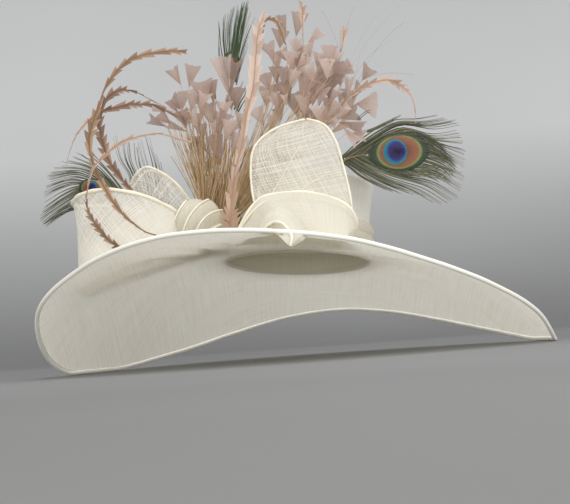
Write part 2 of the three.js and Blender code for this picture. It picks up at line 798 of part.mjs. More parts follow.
function fanTip(place, lean, size) {
  const corners = fanOutline.map((row) => new THREE.Vector2(row.side * size, row.up * size));
  const outline = new THREE.Shape(corners);
  const fan = new THREE.ExtrudeGeometry(outline, { depth: fanThickness, bevelEnabled: false });
  fan.translate(0, 0, -fanThickness / 2);
  fan.rotateX(Math.PI / 2);
  fan.rotateY(lean);
  fan.translate(place.x, place.y, place.z);
  return fan;
}

// A place at a lean from straight up and a reach from a bound head
function fannedOut(top, lean, reach, layer) {
  const across = Math.sin(lean) * reach;
  const up = Math.cos(lean) * reach;
  return top.clone().add(new THREE.Vector3(across, layer, up));
}

function plumeGeometry(plume) {
  const head = boundHead(plume);
  const start = head.top.clone().add(new THREE.Vector3(0, 0, -headRadius));
  const parts = [head.solid];
  for (let i = 0; i < plume.tips; i++) {
    const turn = (0.5 + i * turnShare) % 1;
    const out = (0.5 + i * outShare) % 1;
    const lean = THREE.MathUtils.lerp(plume.from, plume.to, turn) * degree;
    const reach = THREE.MathUtils.lerp(plume.near, plume.far, Math.sqrt(out)) * plumeReach;
    const tip = fannedOut(head.top, lean, reach, plumeLayer * Math.sin(i * layerTurn));
    const tilt = lean + Math.sin(i * tiltTurn) * tiltMost;
    parts.push(rod(start, tip, stemRadius, stemSides));
    parts.push(fanTip(tip, tilt, fanSize * (fanGrowth.least + fanGrowth.more * out)));
  }
  return fused(parts);
}

function sprayGeometry() {
  const head = boundHead(spray);
  const start = head.top.clone().add(new THREE.Vector3(0, 0, -headRadius));
  const parts = [head.solid];
  for (let i = 0; i < spray.strands; i++) {
    const share = i / (spray.strands - 1);
    const lean = THREE.MathUtils.lerp(spray.from, spray.to, share) * degree;
    const length = strandLengths.middle + strandLengths.change * Math.cos(i * strandLengths.turn);
    const tip = fannedOut(head.top, lean, spray.reach * length, 0);
    parts.push(rod(start, tip, strandRadius, stemSides));
  }
  return fused(parts);
}

const hat = new THREE.Group();

function add(parent, name, geometry, colour, roughness) {
  const mesh = new THREE.Mesh(geometry, finish(colour, roughness));
  mesh.name = name;
  parent.add(mesh);
  return mesh;
}

add(hat, "brim", brimGeometry(), colours.weave, clothRough);
add(hat, "brim_edge", edgeGeometry(), colours.binding, bindingRough);

const head = new THREE.Group();
head.applyMatrix4(seatMatrix);
hat.add(head);
add(head, "crown", crownGeometry(), colours.weave, clothRough);
add(head, "crown_sash", sashGeometry(), colours.weaveWarm, clothRough);

// Room that the seated pieces keep from the brim and the knot
const brimRoom = [brimGeometry(gap), brimGeometry(gap).translate(0, 0, -wall)];
const knotRoom = knotGeometry(gap);
const knotHollow = knotGeometry(-knotWall).translate(0, 0, -2 * knotWall);
const knot = trimmed(knotGeometry(), knotHollow, ...brimRoom);
add(hat, "knot", knot, colours.weaveWarm, clothRough);

const bands = {
  loop_left_front: standingLoop(leftFront, leftFrontRows),
  loop_left_back: standingLoop(leftBack, leftBackRows),
  loop_right_tall: tallLoop,
  loop_right_low: lowLoop,
};
for (const [name, surface] of Object.entries(bands)) {
  const across = name === "loop_right_low" ? lowAcross : bandAcross;
  const band = sheet(surface, bandWall, bandSteps, across);
  add(hat, name, trimmed(band, knotRoom, ...brimRoom), colours.weave, clothRough);
}
const curlBand = trimmed(sheet(curlSurface, bandWall, curlSteps, curlAcross), ...brimRoom);
add(hat, "loop_curl", curlBand, colours.weaveWarm, clothRough);

// Feathers whose foot stands on the brim's face
const onBrim = ["feather_curl_high", "feather_curl_low", "peacock_left", "peacock_top"];
for (const [name, rows] of Object.entries(curledRows)) {
  let feather = blade(rows, featherSteps, notchShare, onBrim.includes(name));
  if (name === "feather_curl_high") {
    feather = fused([feather, blade(branchRows, branchSteps, 1)]);
  }
  add(hat, name, trimmed(feather, knotRoom, ...brimRoom), colours.tan, featherRough);
}
const tallFeather = trimmed(
  blade(tallFeatherRows, tallFeatherSteps, notchShare, true),
  knotRoom,
  ...brimRoom,
);
add(hat, "feather_tall", tallFeather, colours.pink, featherRough);

for (const [name, rows] of Object.entries(peacockRows)) {
  const vane = blade(rows, peacockSteps, peacockNotch, onBrim.includes(name));
  const feather = fused([vane, eyeDisc(rows, eyeShare[name])]);
  add(hat, name, trimmed(feather, knotRoom, ...brimRoom), colours.green, peacockRough);
}
for (const [name, plume] of Object.entries(plumes)) {
  add(hat, name, trimmed(plumeGeometry(plume), ...brimRoom), colours.mauve, featherRough);
}
const strands = trimmed(sprayGeometry(), ...brimRoom);
add(hat, "straw_spray", strands, colours.straw, featherRough);

// The part's own origin: under the middle of its outline, on the surface that it stands on
const extent = new THREE.Box3().setFromObject(hat, true);
const middle = extent.getCenter(new THREE.Vector3());
hat.position.set(-middle.x, -middle.y, -extent.min.z);

export default hat;
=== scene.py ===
import math

import bpy
import numpy as np
from mathutils import Matrix, Vector


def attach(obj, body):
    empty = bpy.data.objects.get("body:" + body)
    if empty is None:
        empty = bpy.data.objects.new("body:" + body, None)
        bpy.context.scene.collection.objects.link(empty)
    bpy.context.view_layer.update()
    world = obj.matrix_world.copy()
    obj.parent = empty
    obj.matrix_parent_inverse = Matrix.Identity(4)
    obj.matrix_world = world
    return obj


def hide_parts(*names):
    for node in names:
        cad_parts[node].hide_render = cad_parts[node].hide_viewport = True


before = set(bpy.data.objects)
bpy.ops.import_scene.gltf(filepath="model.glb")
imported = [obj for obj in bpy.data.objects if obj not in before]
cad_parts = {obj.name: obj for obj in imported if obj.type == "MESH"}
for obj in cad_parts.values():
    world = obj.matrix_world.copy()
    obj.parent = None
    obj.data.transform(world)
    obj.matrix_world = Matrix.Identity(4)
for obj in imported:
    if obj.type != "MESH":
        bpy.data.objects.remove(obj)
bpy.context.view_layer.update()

# The tables below are in millimetres from the point that the brim was drawn round. SHIFT
# carries them to the part's own origin.
SHIFT = np.array([-19.5352, 6.7494, 0.0])
MM = 0.001
rng = np.random.default_rng(20)

# Camera: where it stands, and its right, up and view directions as columns
CAMERA_PLACE = np.array([2.2595, -2004.05, 30.949])
CAMERA_AXES = np.array([
    [0.997345, 0.072724, 0.003636],
    [0.0, -0.049938, 0.998752],
    [-0.072815, 0.996101, 0.049805],
])
FOCAL_PX = 1640.0
CENTRE_PX = (285.0, 252.0)
IMAGE_WIDTH = 570


def at_pixel(u, v, y):
    """The place on the upright plane y that a pixel of the 570 x 504 view looks at."""
    ray = CAMERA_AXES @ np.array([(u - CENTRE_PX[0]) / FOCAL_PX, (CENTRE_PX[1] - v) / FOCAL_PX, 1.0])
    return CAMERA_PLACE + ray * ((y - CAMERA_PLACE[1]) / ray[1])


def to_pixel(points):
    """The pixels that places are seen at, as u and v."""
    x, y, z = np.moveaxis((np.asarray(points) - CAMERA_PLACE) @ CAMERA_AXES, -1, 0)
    return CENTRE_PX[0] + FOCAL_PX * x / z, CENTRE_PX[1] - FOCAL_PX * y / z


def path_at(pixels, depths):
    """A row of places through pixels, with depths spread evenly along them."""
    ys = np.interp(np.linspace(0, 1, len(pixels)), np.linspace(0, 1, len(depths)), depths)
    return np.array([at_pixel(u, v, y) for (u, v), y in zip(pixels, ys)])


camera_data = bpy.data.cameras.new("camera")
camera_data.sensor_width = 36.0
camera_data.lens = FOCAL_PX / IMAGE_WIDTH * camera_data.sensor_width
camera_data.clip_start = 0.02
camera = bpy.data.objects.new("camera", camera_data)
bpy.context.scene.collection.objects.link(camera)
right, up, ahead = CAMERA_AXES.T
place = (CAMERA_PLACE + SHIFT) * MM
camera.matrix_world = Matrix([[right[i], up[i], -ahead[i], place[i]] for i in range(3)] + [[0, 0, 0, 1]])
bpy.context.scene.camera = camera


# Curves and surfaces
def spline(rows, share, closed=False):
    rows, share = np.asarray(rows, float), np.asarray(share, float)
    spans = len(rows) if closed else len(rows) - 1
    at = (share % 1.0 if closed else np.clip(share, 0, 1)) * spans
    first = np.minimum(np.floor(at).astype(int), spans - 1)
    t = (at - first)[..., None]
    if closed:
        p = [rows[(first + k) % len(rows)] for k in (-1, 0, 1, 2)]
    else:
        full = np.vstack([2 * rows[0] - rows[1], rows, 2 * rows[-1] - rows[-2]])
        p = [full[first + k] for k in range(4)]
    m1, m2 = (p[2] - p[0]) / 2, (p[3] - p[1]) / 2
    return ((2 * t**3 - 3 * t**2 + 1) * p[1] + (t**3 - 2 * t**2 + t) * m1
            + (3 * t**2 - 2 * t**3) * p[2] + (t**3 - t**2) * m2)


def unit(v):
    return v / np.maximum(np.linalg.norm(v, axis=-1, keepdims=True), 1e-9)


def bump(x, middle, spread):
    return np.exp(-(((x - middle) / spread) ** 2))


def waves(x, y, seed, scale):
    """A smooth wandering value of about -1 to 1."""
    g = np.random.default_rng(seed)
    out = 0
    for k in range(6):
        a, b = g.normal(size=2) / scale * (1 + k / 3)
        out = out + np.sin(a * x + b * y + g.uniform(0, 6.3)) / (1 + k / 3)
    return out / 2.6


def mesh_piece(name, points, faces, uv=None, values=None, smooth=True):
    """A mesh in the part's frame from places in millimetres."""
    mesh = bpy.data.meshes.new(name)
    points = (np.asarray(points, float).reshape(-1, 3) + SHIFT) * MM
    mesh.from_pydata(points.tolist(), [], np.asarray(faces).tolist())
    if smooth:
        mesh.polygons.foreach_set("use_smooth", np.ones(len(mesh.polygons), bool))
    if uv is not None:
        corner = np.zeros(len(mesh.loops), np.int32)
        mesh.loops.foreach_get("vertex_index", corner)
        layer = mesh.uv_layers.new(name="cloth")
        layer.data.foreach_set("uv", np.asarray(uv, np.float32).reshape(-1, 2)[corner].ravel())
    for key, value in (values or {}).items():
        layer = mesh.attributes.new(key, "FLOAT", "POINT")
        layer.data.foreach_set("value", np.asarray(value, np.float32).ravel())
    mesh.validate()
    obj = bpy.data.objects.new(name, mesh)
    bpy.context.scene.collection.objects.link(obj)
    return obj


def grid_faces(n, m, ring=False, tube=False, start=0):
    """Quads over n rows of m points. A ring closes the rows and a tube closes the points."""
    i, j = np.meshgrid(np.arange(n if ring else n - 1), np.arange(m if tube else m - 1), indexing="ij")
    a, b = (i % n) * m, ((i + 1) % n) * m
    c = (j + 1) % m
    return np.stack([a + j, b + j, b + c, a + c], -1).reshape(-1, 4) + start


def grid(n, m, ring=False):
    """Shares along and across a sheet of n x m places. A ring's last row stops short of its first."""
    return np.meshgrid(np.arange(n) / n if ring else np.linspace(0, 1, n), np.linspace(0, 1, m), indexing="ij")


def arc_lengths(points, axis):
    step = np.linalg.norm(np.diff(points, axis=axis), axis=-1)
    zero = np.zeros_like(np.take(step, [0], axis=axis))
    return np.concatenate([zero, np.cumsum(step, axis=axis)], axis=axis)


def cloth_uv(points):
    """Lengths along and across a sheet, in millimetres."""
    along = arc_lengths(points, 0).mean(1, keepdims=True) + 0 * points[..., 0]
    across = arc_lengths(points, 1).mean(0, keepdims=True) + 0 * points[..., 0]
    return np.stack([along, across], -1)


def tube_points(path, radius, sides, closed=False):
    """Rings of places round a path. A closed one keeps its rings level."""
    path = np.asarray(path, float)
    radius = np.broadcast_to(np.asarray(radius, float), (len(path),))
    if closed:
        tangent = unit(np.roll(path, -1, 0) - np.roll(path, 1, 0))
    else:
        tangent = unit(np.gradient(path, axis=0))
    side = np.cross(tangent, (0, 0, 1))
    if closed:
        side = unit(side)
    else:
        last = side[0] if np.linalg.norm(side[0]) >= 0.05 else np.cross(tangent[0], (0.3, 1, 0.2))
        for index, t in enumerate(tangent):
            last = last - t * np.dot(last, t)
            last = last / np.linalg.norm(last)
            side[index] = last
    other = np.cross(side, tangent)
    turn = np.arange(sides) / sides * 2 * math.pi
    ring = np.cos(turn)[None, :, None] * side[:, None] + np.sin(turn)[None, :, None] * other[:, None]
    return path[:, None] + ring * radius[:, None, None]


def tube(name, path, radius, sides=8, closed=False):
    points = tube_points(path, radius, sides, closed)
    faces = grid_faces(len(points), sides, ring=closed, tube=True)
    along = arc_lengths(np.asarray(path, float)[:, None], 0)[:, 0]
    around = np.arange(sides)[None] / sides * 6.3 * np.mean(radius)
    uv = np.stack(np.broadcast_arrays(along[:, None], around), -1)
    return mesh_piece(name, points, faces, uv)


def ribbons(name, curves, widths, faces_to, values=None):
    """Many thin flat strands in one mesh: curves (strands, points, 3), widths (strands, points)."""
    curves = np.asarray(curves, float)
    n, k, _ = curves.shape
    widths = np.broadcast_to(np.asarray(widths, float), (n, k))
    tangent = unit(np.gradient(curves, axis=1))
    side = unit(np.cross(tangent, np.broadcast_to(faces_to, (n, 3))[:, None]))
    points = np.stack([curves - side * widths[..., None] / 2, curves + side * widths[..., None] / 2], 2)
    base = grid_faces(k, 2)
    faces = (base[None] + (np.arange(n) * k * 2)[:, None, None]).reshape(-1, 4)
    share = np.broadcast_to(np.linspace(0, 1, k)[None, :, None], (n, k, 2))
    shade = np.broadcast_to(rng.uniform(0, 1, n)[:, None, None], (n, k, 2))
    extra = {key: np.repeat(np.asarray(v)[:, :, None], 2, 2) for key, v in (values or {}).items()}
    values = {"share": share, "shade": shade, **extra}
    return mesh_piece(name, points, faces, np.stack([share, shade], -1), values, False)


# Materials
def linear(colour):
    """An sRGB colour of 0 to 255 as Blender's linear one. A socket is passed on as it is."""
    if not isinstance(colour, tuple):
        return colour
    c = np.array(colour) / 255
    c = np.where(c < 0.04045, c / 12.92, ((c + 0.055) / 1.055) ** 2.4)
    return (*c.tolist(), 1.0)


class Nodes:
    """A short way to write a material's nodes."""

    def __init__(self, name):
        self.mat = bpy.data.materials.new(name)
        self.mat.use_nodes = True
        self.tree = self.mat.node_tree
        self.tree.nodes.clear()

    def node(self, kind, inputs=None, **settings):
        node = self.tree.nodes.new("ShaderNode" + kind)
        for key, value in settings.items():
            setattr(node, key, value)
        for key, value in (inputs or {}).items():
            if isinstance(value, bpy.types.NodeSocket):
                self.tree.links.new(value, node.inputs[key])
            else:
                node.inputs[key].default_value = value
        return node

    def add(self, kind, inputs=None, **settings):
        return self.node(kind, inputs, **settings).outputs[0]

    def math(self, operation, a, b=0.0, *more):
        return self.add("Math", dict(enumerate((a, b, *more))), operation=operation)

    def spread(self, value, low, high, to_low=0.0, to_high=1.0):
        return self.add("MapRange", dict(enumerate((value, low, high, to_low, to_high))))

    def mix(self, share, a, b):
        return self.node("Mix", {0: share, 6: linear(a), 7: linear(b)}, data_type="RGBA").outputs[2]

    def ramp(self, value, stops):
        node = self.node("ValToRGB", {0: value})
        while len(node.color_ramp.elements) < len(stops):
            node.color_ramp.elements.new(0.5)
        for element, (at, colour) in zip(node.color_ramp.elements, stops):
            element.position = at
            element.color = linear(colour)
        return node.outputs[0]

    def uv(self):
        return self.add("UVMap", uv_map="cloth")

    def value(self, name):
        return self.node("Attribute", attribute_name=name).outputs["Fac"]

    def vector(self, *values):
        return self.add("CombineXYZ", dict(enumerate(values)))

    def stretch(self, vector, x, y):
        return self.add("Mapping", {"Vector": vector, "Scale": (x, y, 1.0)})

    def noise(self, vector, scale, detail=2.0, roughness=0.5):
        inputs = {"Vector": vector, "Scale": scale, "Detail": detail, "Roughness": roughness}
        return self.add("TexNoise", inputs)

    def bump(self, height, strength, distance):
        return self.add("Bump", {"Height": height, "Strength": strength, "Distance": distance})

    def surface(self, colour, rough, sheen, **more):
        """A principled surface. Further inputs are given with _ for a space."""
        inputs = {"Base Color": colour, "Roughness": rough, "Sheen Weight": sheen}
        inputs.update({key.replace("_", " "): value for key, value in more.items()})
        return self.add("BsdfPrincipled", inputs)

    def lit_through(self, share, surface, colour):
        """A surface that passes a share of the light on its other side."""
        through = self.add("BsdfTranslucent", {"Color": colour})
        return self.add("MixShader", {0: share, 1: surface, 2: through})

    def output(self, shader):
        self.node("OutputMaterial", {"Surface": shader})
        return self.mat


THREAD_PITCH = 1.35


def weave_material(name, light, shade, open_share, glow, close=0.5):
    """Open straw weave: two sets of uneven threads with gaps, denser and thinner streaks."""
    n = Nodes("weave_" + name)
    uv = n.uv()
    axes = n.node("SeparateXYZ", {0: uv}).outputs
    wander = n.noise(n.stretch(uv, 0.06, 0.06), 1.0, 3.0)
    threads, streaks, wide = [], [], []
    for axis, (x, y, slow) in enumerate(((1.2, 0.015, 7.0), (0.015, 1.2, 11.0))):
        streak = n.noise(n.stretch(uv, x, y), 0.6, 3.0, 0.6)
        phase = n.math("MULTIPLY_ADD", axes[axis], 2 * math.pi / THREAD_PITCH, n.math("MULTIPLY", wander, slow))
        thread = n.math("SINE", phase)
        threads.append(thread)
        streaks.append(streak)
        wide.append(n.math("ADD", n.math("MULTIPLY", thread, 0.7), n.spread(streak, 0.3, 0.7, -0.9, 0.9)))
    patch = n.noise(n.stretch(uv, 0.03, 0.03), 1.0, 4.0)
    cover = n.math("ADD", n.math("MAXIMUM", *wide), n.spread(patch, 0.3, 0.7, -0.3, 0.3))
    alpha = n.math("MAXIMUM", n.spread(cover, close - 1.1, close, 1 - open_share, 1.0), n.value("dense"))
    relief = n.math("ADD", *threads)
    tone = n.math("MULTIPLY_ADD", n.math("ADD", *streaks), 0.5, n.math("MULTIPLY", relief, 0.03))
    colour = n.mix(n.spread(tone, 0.34, 0.6), shade, light)
    cloth = n.surface(colour, 0.62, 0.15, Normal=n.bump(relief, 0.25, 0.0004), Specular_IOR_Level=0.25)
    body = n.lit_through(glow, cloth, colour)
    return n.output(n.add("MixShader", {0: alpha, 1: n.add("BsdfTransparent"), 2: body}))


def hem_material():
    """A turned hem: the same straw, rolled close."""
    n = Nodes("weave_hem")
    lines = n.noise(n.stretch(n.uv(), 0.35, 0.06), 1.0, 3.0, 0.6)
    colour = n.mix(lines, (228, 220, 196), (243, 238, 222))
    return n.output(n.surface(colour, 0.55, 0.2, Normal=n.bump(lines, 0.35, 0.0004)))


def binding_material():
    """Satin bias binding with fine diagonal ribs."""
    n = Nodes("binding")
    uv = n.uv()
    inputs = {"Vector": uv, "Scale": 0.35, "Distortion": 1.5, "Detail": 2.0}
    ribs = n.node("TexWave", inputs, bands_direction="DIAGONAL").outputs[1]
    colour = n.mix(n.noise(n.stretch(uv, 0.05, 0.3), 1.0, 3.0), (246, 244, 236), (238, 234, 221))
    return n.output(n.surface(colour, 0.42, 0.3, Normal=n.bump(ribs, 0.2, 0.0003)))


def feather_material(name, quill, vane, edge, clear=0.1, streaks=26.0):
    """A trimmed vane: darker by the quill, streaked along its barbs, thin at its edge."""
    n = Nodes("feather_" + name)
    share, shade = n.value("share"), n.value("shade")
    barb = n.vector(n.value("barb"), n.math("MULTIPLY", share, 0.25), n.math("MULTIPLY", shade, 9.0))
    lines = n.noise(barb, streaks, 3.0, 0.7)
    tone = n.math("MULTIPLY_ADD", lines, 0.35, n.math("MULTIPLY", share, 0.75))
    colour = n.ramp(tone, [(0.05, quill), (0.4, vane), (0.95, edge)])
    colour = n.mix(n.math("MULTIPLY", shade, 0.75), colour, quill)
    thin = n.math("MULTIPLY", n.spread(lines, 0.45, 0.75), n.math("MULTIPLY", share, clear * 3))
    vane = n.surface(colour, 0.6, 0.25, Alpha=n.math("SUBTRACT", 1.0, thin), Normal=n.bump(lines, 0.4, 0.0005),
                     Specular_IOR_Level=0.3)
    return n.output(n.lit_through(0.3, vane, colour))


def strand_material(name, dark, light, rough=0.5):
    n = Nodes(name)
    shade = n.value("shade")
    lines = n.noise(n.vector(n.value("share"), shade), 12.0, 2.0)
    tone = n.math("MULTIPLY_ADD", shade, 0.7, n.math("MULTIPLY", lines, 0.3))
    return n.output(n.surface(n.mix(tone, dark, light), rough, 0.1))


def eye_material():
    """Peacock eye: rings by the value eye, which is 0 in the core and 1 at the outer ring."""
    n = Nodes("peacock_eye")
    eye = n.value("eye")
    lines = n.noise(n.vector(n.value("barb"), n.math("MULTIPLY", eye, 0.4)), 40.0, 3.0, 0.7)
    colour = n.ramp(n.math("MULTIPLY_ADD", n.math("SUBTRACT", lines, 0.5), 0.05, eye), [
        (0.0, (34, 26, 60)), (0.3, (44, 32, 104)), (0.385, (40, 52, 150)), (0.43, (10, 104, 140)),
        (0.53, (14, 124, 134)), (0.565, (70, 120, 96)), (0.6, (122, 74, 52)), (0.82, (146, 90, 66)),
        (0.87, (130, 142, 74)), (0.895, (112, 140, 80)), (0.925, (52, 72, 44)), (1.0, (40, 50, 32)),
    ])
    colour = n.mix(n.spread(lines, 0.35, 0.75, 0.0, 0.35), colour, (24, 22, 28))
    return n.output(n.surface(colour, 0.38, 0.2, Metallic=0.25, Normal=n.bump(lines, 0.5, 0.0006)))


MATERIALS = {
    "brim": weave_material("brim", (249, 246, 236), (238, 231, 212), 0.1, 0.44),
    "crown": weave_material("crown", (250, 248, 240), (242, 238, 224), 0.1, 0.22),
    "loop": weave_material("loop", (249, 247, 239), (238, 232, 217), 0.8, 0.35, 0.65),
    "sheer": weave_material("sheer", (247, 244, 236), (228, 221, 207), 0.88, 0.35, 0.84),
    "thin": weave_material("thin", (244, 241, 232), (224, 217, 202), 0.95, 0.35, 1.06),
    # The knot, sash, headband, low loop and curl share a darker, yellower copy of the straw; that darkness and
    # yellow are painted shade of their folds and hollows.
    "warm": weave_material("warm", (238, 235, 223), (228, 220, 197), 0.04, 0.38),
    "hem": hem_material(),
    "binding": binding_material(),
    "tan": feather_material("tan", (134, 102, 76), (178, 144, 112), (198, 170, 142)),
    "brown": feather_material("brown", (112, 84, 66), (166, 132, 108), (190, 160, 138)),
    "pink": feather_material("pink", (166, 128, 100), (222, 196, 180), (236, 216, 202)),
    "mauve": feather_material("mauve", (150, 118, 104), (198, 172, 160), (222, 203, 193), 0.34, 30.0),
    "straw": strand_material("straw", (120, 86, 50), (220, 190, 144)),
    "barb": strand_material("peacock_barb", (22, 27, 17), (118, 120, 82), 0.42),
    "green_barb": strand_material("peacock_green_barb", (16, 30, 18), (92, 114, 68), 0.36),
    "hair": strand_material("hair", (120, 114, 110), (168, 160, 154)),
    "eye": eye_material(),
}


def dress(obj, material, slot, *nodes):
    obj.data.materials.append(MATERIALS[material])
    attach(obj, "root")
    if nodes:
        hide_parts(*nodes)
    return obj


def sheet(name, points, material, slot, *nodes, ring=False, uv=None, turn=(1, 0), values=None):
    """A cloth from a grid of places. turn is the cosine and sine that its threads are turned by."""
    if uv is None:
        uv = cloth_uv(points) @ np.array([turn, (-turn[1], turn[0])])
    faces = grid_faces(*points.shape[:2], ring=ring)
    return dress(mesh_piece(name, points, faces, uv, values), material, slot, *nodes)


# Brim
WALL, GAP = 1.8, 0.3
RIM_RADIUS, RIM_HEIGHT, EDGE_RADIUS = 300.0, 142.0, 2.6
RIM_CENTRE = np.array([8.0, 0.0])
COLLAR, LOBE_CURL = 0.05, 1.7
RIM_ROWS = [  # radius, height; every 15 degrees from +X through the back
    (1.027, -0.01), (0.973, 0.07), (0.953, 0.155), (0.94, 0.26), (0.937, 0.365), (0.947, 0.42),
    (0.95, 0.385), (0.93, 0.275), (0.887, 0.16), (0.835, 0.085), (0.795, 0.03), (0.79, -0.012),
    (0.862, -0.03), (0.99, 0.185), (1.072, 0.56), (1.03, 0.835), (0.99, 0.975), (0.97, 1.0),
    (0.967, 0.955), (0.977, 0.86), (0.997, 0.695), (1.033, 0.5), (1.07, 0.265), (1.066, -0.012),
]
TOUCH_DOWN = 0.035
DENTS = [(196, 0.3, 2.4, 17), (226, 0.35, -1.6, 15), (318, 0.4, 3.2, 20)]
CROWN_SEAT = np.array([25.0, 20.0, 117.0])
LEAN_BACK, LEAN_SIDE = math.radians(5.6), math.radians(4.2)
HALF_WIDTH, HALF_LENGTH = 88.0, 102.0
CROWN_HEIGHT = 98.0
ca, sa, cb, sb = math.cos(-LEAN_BACK), math.sin(-LEAN_BACK), math.cos(LEAN_SIDE), math.sin(LEAN_SIDE)
SEAT_TURN = np.array([[1, 0, 0], [0, ca, -sa], [0, sa, ca]]) @ np.array([[cb, 0, sb], [0, 1, 0], [-sb, 0, cb]])


def seated(points):
    """Places in the crown's own frame, carried to its seat on the brim."""
    return np.asarray(points, float) @ SEAT_TURN.T + CROWN_SEAT


def opening_point(turn, spread=1.0):
    angle = np.asarray(turn) * 2 * math.pi
    spread = np.broadcast_to(spread, angle.shape)
    return seated(np.stack([np.cos(angle) * HALF_WIDTH * spread, np.sin(angle) * HALF_LENGTH * spread, 0 * angle],
        -1))


def rim_point(turn):
    turn = np.asarray(turn, float)
    row = spline(RIM_ROWS, turn, True)
    angle = turn * 2 * math.pi
    reach = row[..., 0] * RIM_RADIUS
    lift = np.maximum(row[..., 1], 0)
    rise = lift**2 / np.maximum(lift + TOUCH_DOWN * (1 - lift), 1e-9)
    return np.stack([RIM_CENTRE[0] + np.cos(angle) * reach, RIM_CENTRE[1] + np.sin(angle) * reach,
        rise * RIM_HEIGHT + EDGE_RADIUS], -1)


def brim_surface(turn, across):
    turn, across = np.broadcast_arrays(np.asarray(turn, float), np.asarray(across, float))
    inner, rim = opening_point(turn), rim_point(turn)
    width = np.hypot(rim[..., 0] - inner[..., 0], rim[..., 1] - inner[..., 1])
    collar = opening_point(turn, 1 + COLLAR * width / HALF_WIDTH)
    bend = 1 + LOBE_CURL * np.maximum(collar[..., 2] - rim[..., 2], 0) / RIM_HEIGHT
    slope = (collar[..., 2] - rim[..., 2]) * bend / width
    share = across * (1 - 3.3 / (width * np.hypot(1, slope)))
    point = inner + (rim - inner) * share[..., None]
    past = np.maximum(share - COLLAR, 0) / (1 - COLLAR)
    level = inner[..., 2] + (collar[..., 2] - inner[..., 2]) * np.minimum(share, COLLAR) / COLLAR
    point[..., 2] = level + (rim[..., 2] - collar[..., 2]) * past**bend
    angle = (turn % 1.0) * 360
    for middle, at, depth, spread in DENTS:
        fade = np.minimum(past * 8, 1) * np.minimum((1 - past) * 4, 1)
        point[..., 2] -= depth * bump(angle, middle, spread) * np.exp(-2 * ((past - at) / at) ** 2) * fade
    return point


def brim_height(x, y):
    x, y = np.broadcast_arrays(np.asarray(x, float), np.asarray(y, float))
    centre = np.arctan2(y - CROWN_SEAT[1], x - CROWN_SEAT[0]) / (2 * math.pi)
    low, high = centre - 0.12, centre + 0.12
    for _ in range(24):
        middle = (low + high) / 2
        inner, outer = opening_point(middle), rim_point(middle)
        side = (outer[..., 0] - inner[..., 0]) * (y - inner[..., 1]) - (outer[..., 1] - inner[...,
            1]) * (x - inner[..., 0])
        low, high = np.where(side > 0, middle, low), np.where(side > 0, high, middle)
    inner, outer = opening_point(low), brim_surface(low, 1.0)
    reach = np.hypot(x - inner[..., 0], y - inner[..., 1]) / np.hypot(outer[..., 0] - inner[..., 0],
        outer[..., 1] - inner[..., 1])
    return brim_surface(low, np.clip(reach, 0, 1))[..., 2]


TURNS, RINGS = 480, 64
CREASE_STEPS, CREASE_REACH = 40, 11
turn, across = grid(TURNS, RINGS, ring=True)
brim_points = brim_surface(turn, across)
angle = turn * 360
fade = np.minimum(across * 6, 1) * np.minimum((1 - across) * 5, 1)
brim_points[..., 2] += 0.9 * waves(brim_points[..., 0], brim_points[..., 1], 3, 30.0) * fade
for depth, soft, *path in (  # creases: (angle, share across) along each
    (2.8, 1.6, (222, 0.2), (226.1, 0.271), (231.8, 0.417), (235.1, 0.568), (234.6, 0.72)),
    (2.4, 1.8, (210, 0.25), (214.3, 0.317), (219.9, 0.462), (222.2, 0.578), (222.8, 0.68)),
    (-1.8, 5.0, (236.8, 0.15), (245.2, 0.412), (250.9, 0.66)),
    (1.2, 3.0, (204, 0.4), (206, 0.6), (209, 0.8)),
    (1.4, 3.0, (318, 0.2), (322, 0.4), (330, 0.6)),
):
    path = spline(path, np.linspace(0, 1, CREASE_STEPS))
    line = brim_surface(path[:, 0] / 360, path[:, 1])[:, :2]
    away = brim_points[..., None, :2] - line
    near = np.hypot(away[..., 0], away[..., 1])
    index = near.argmin(-1)
    near, along = near.min(-1), np.gradient(line, axis=0)[index]
    away = np.take_along_axis(away, index[..., None, None], 2)[..., 0, :]
    side = (along[..., 0] * away[..., 1] - along[..., 1] * away[..., 0]) / np.hypot(along[..., 0], along[..., 1])
    ends = np.sin(index / (CREASE_STEPS - 1) * math.pi) ** 1.5
    brim_points[..., 2] += depth * np.tanh(side / soft) * np.exp(-((near / CREASE_REACH) ** 2)) * ends * fade
brim = sheet("brim_cloth", brim_points, "brim", "weave", "brim", ring=True, uv=brim_points[..., :2])

# Bound edge, a folded binding round the rim wire
turns = np.arange(360) / 360
rim_path = rim_point(turns)
rim_path[:, 2] += 0.08 * np.sin(turns * 2 * math.pi * 37)
edge = tube("brim_binding", rim_path, EDGE_RADIUS - 0.08, 14, closed=True)
dress(edge, "binding", "binding", "brim_edge")

# Crown, headband and sash
CROWN_RADIUS = (HALF_WIDTH + HALF_LENGTH) / 2
CROWN_LIFT = WALL / 2 + GAP
CROWN_PROFILE = [(1, 0), (0.995, 0.3), (1.004, 0.5), (1.02, 0.7), (1.045, 0.86), (1.056, 0.925), (1.04, 0.965),
                 (1.0, 0.992), (0.9, 1.002), (0.5, 1.012), (0, 1.016)]


def turned(radius, up, turns):
    angle = turns * 2 * math.pi
    return seated(np.stack(np.broadcast_arrays(np.cos(angle) * radius * HALF_WIDTH / CROWN_RADIUS,
                                               np.sin(angle) * radius * HALF_LENGTH / CROWN_RADIUS, up), -1))


AROUND = 192
t, v = grid(AROUND, 72, ring=True)
profile = spline(CROWN_PROFILE, v)
wobble = 1 + 0.004 * waves(np.cos(t * 6.283) * 3, v * 4 + np.sin(t * 6.283) * 3, 5, 1.0) * np.minimum(v * 4, 1)
crown_points = turned(profile[..., 0] * CROWN_RADIUS * wobble, CROWN_LIFT + profile[..., 1] * CROWN_HEIGHT, t)
uv = np.stack([t * 600, arc_lengths(crown_points, 1)], -1)
crown = sheet("crown_cloth", crown_points, "crown", "weave", "crown", ring=True, uv=uv)

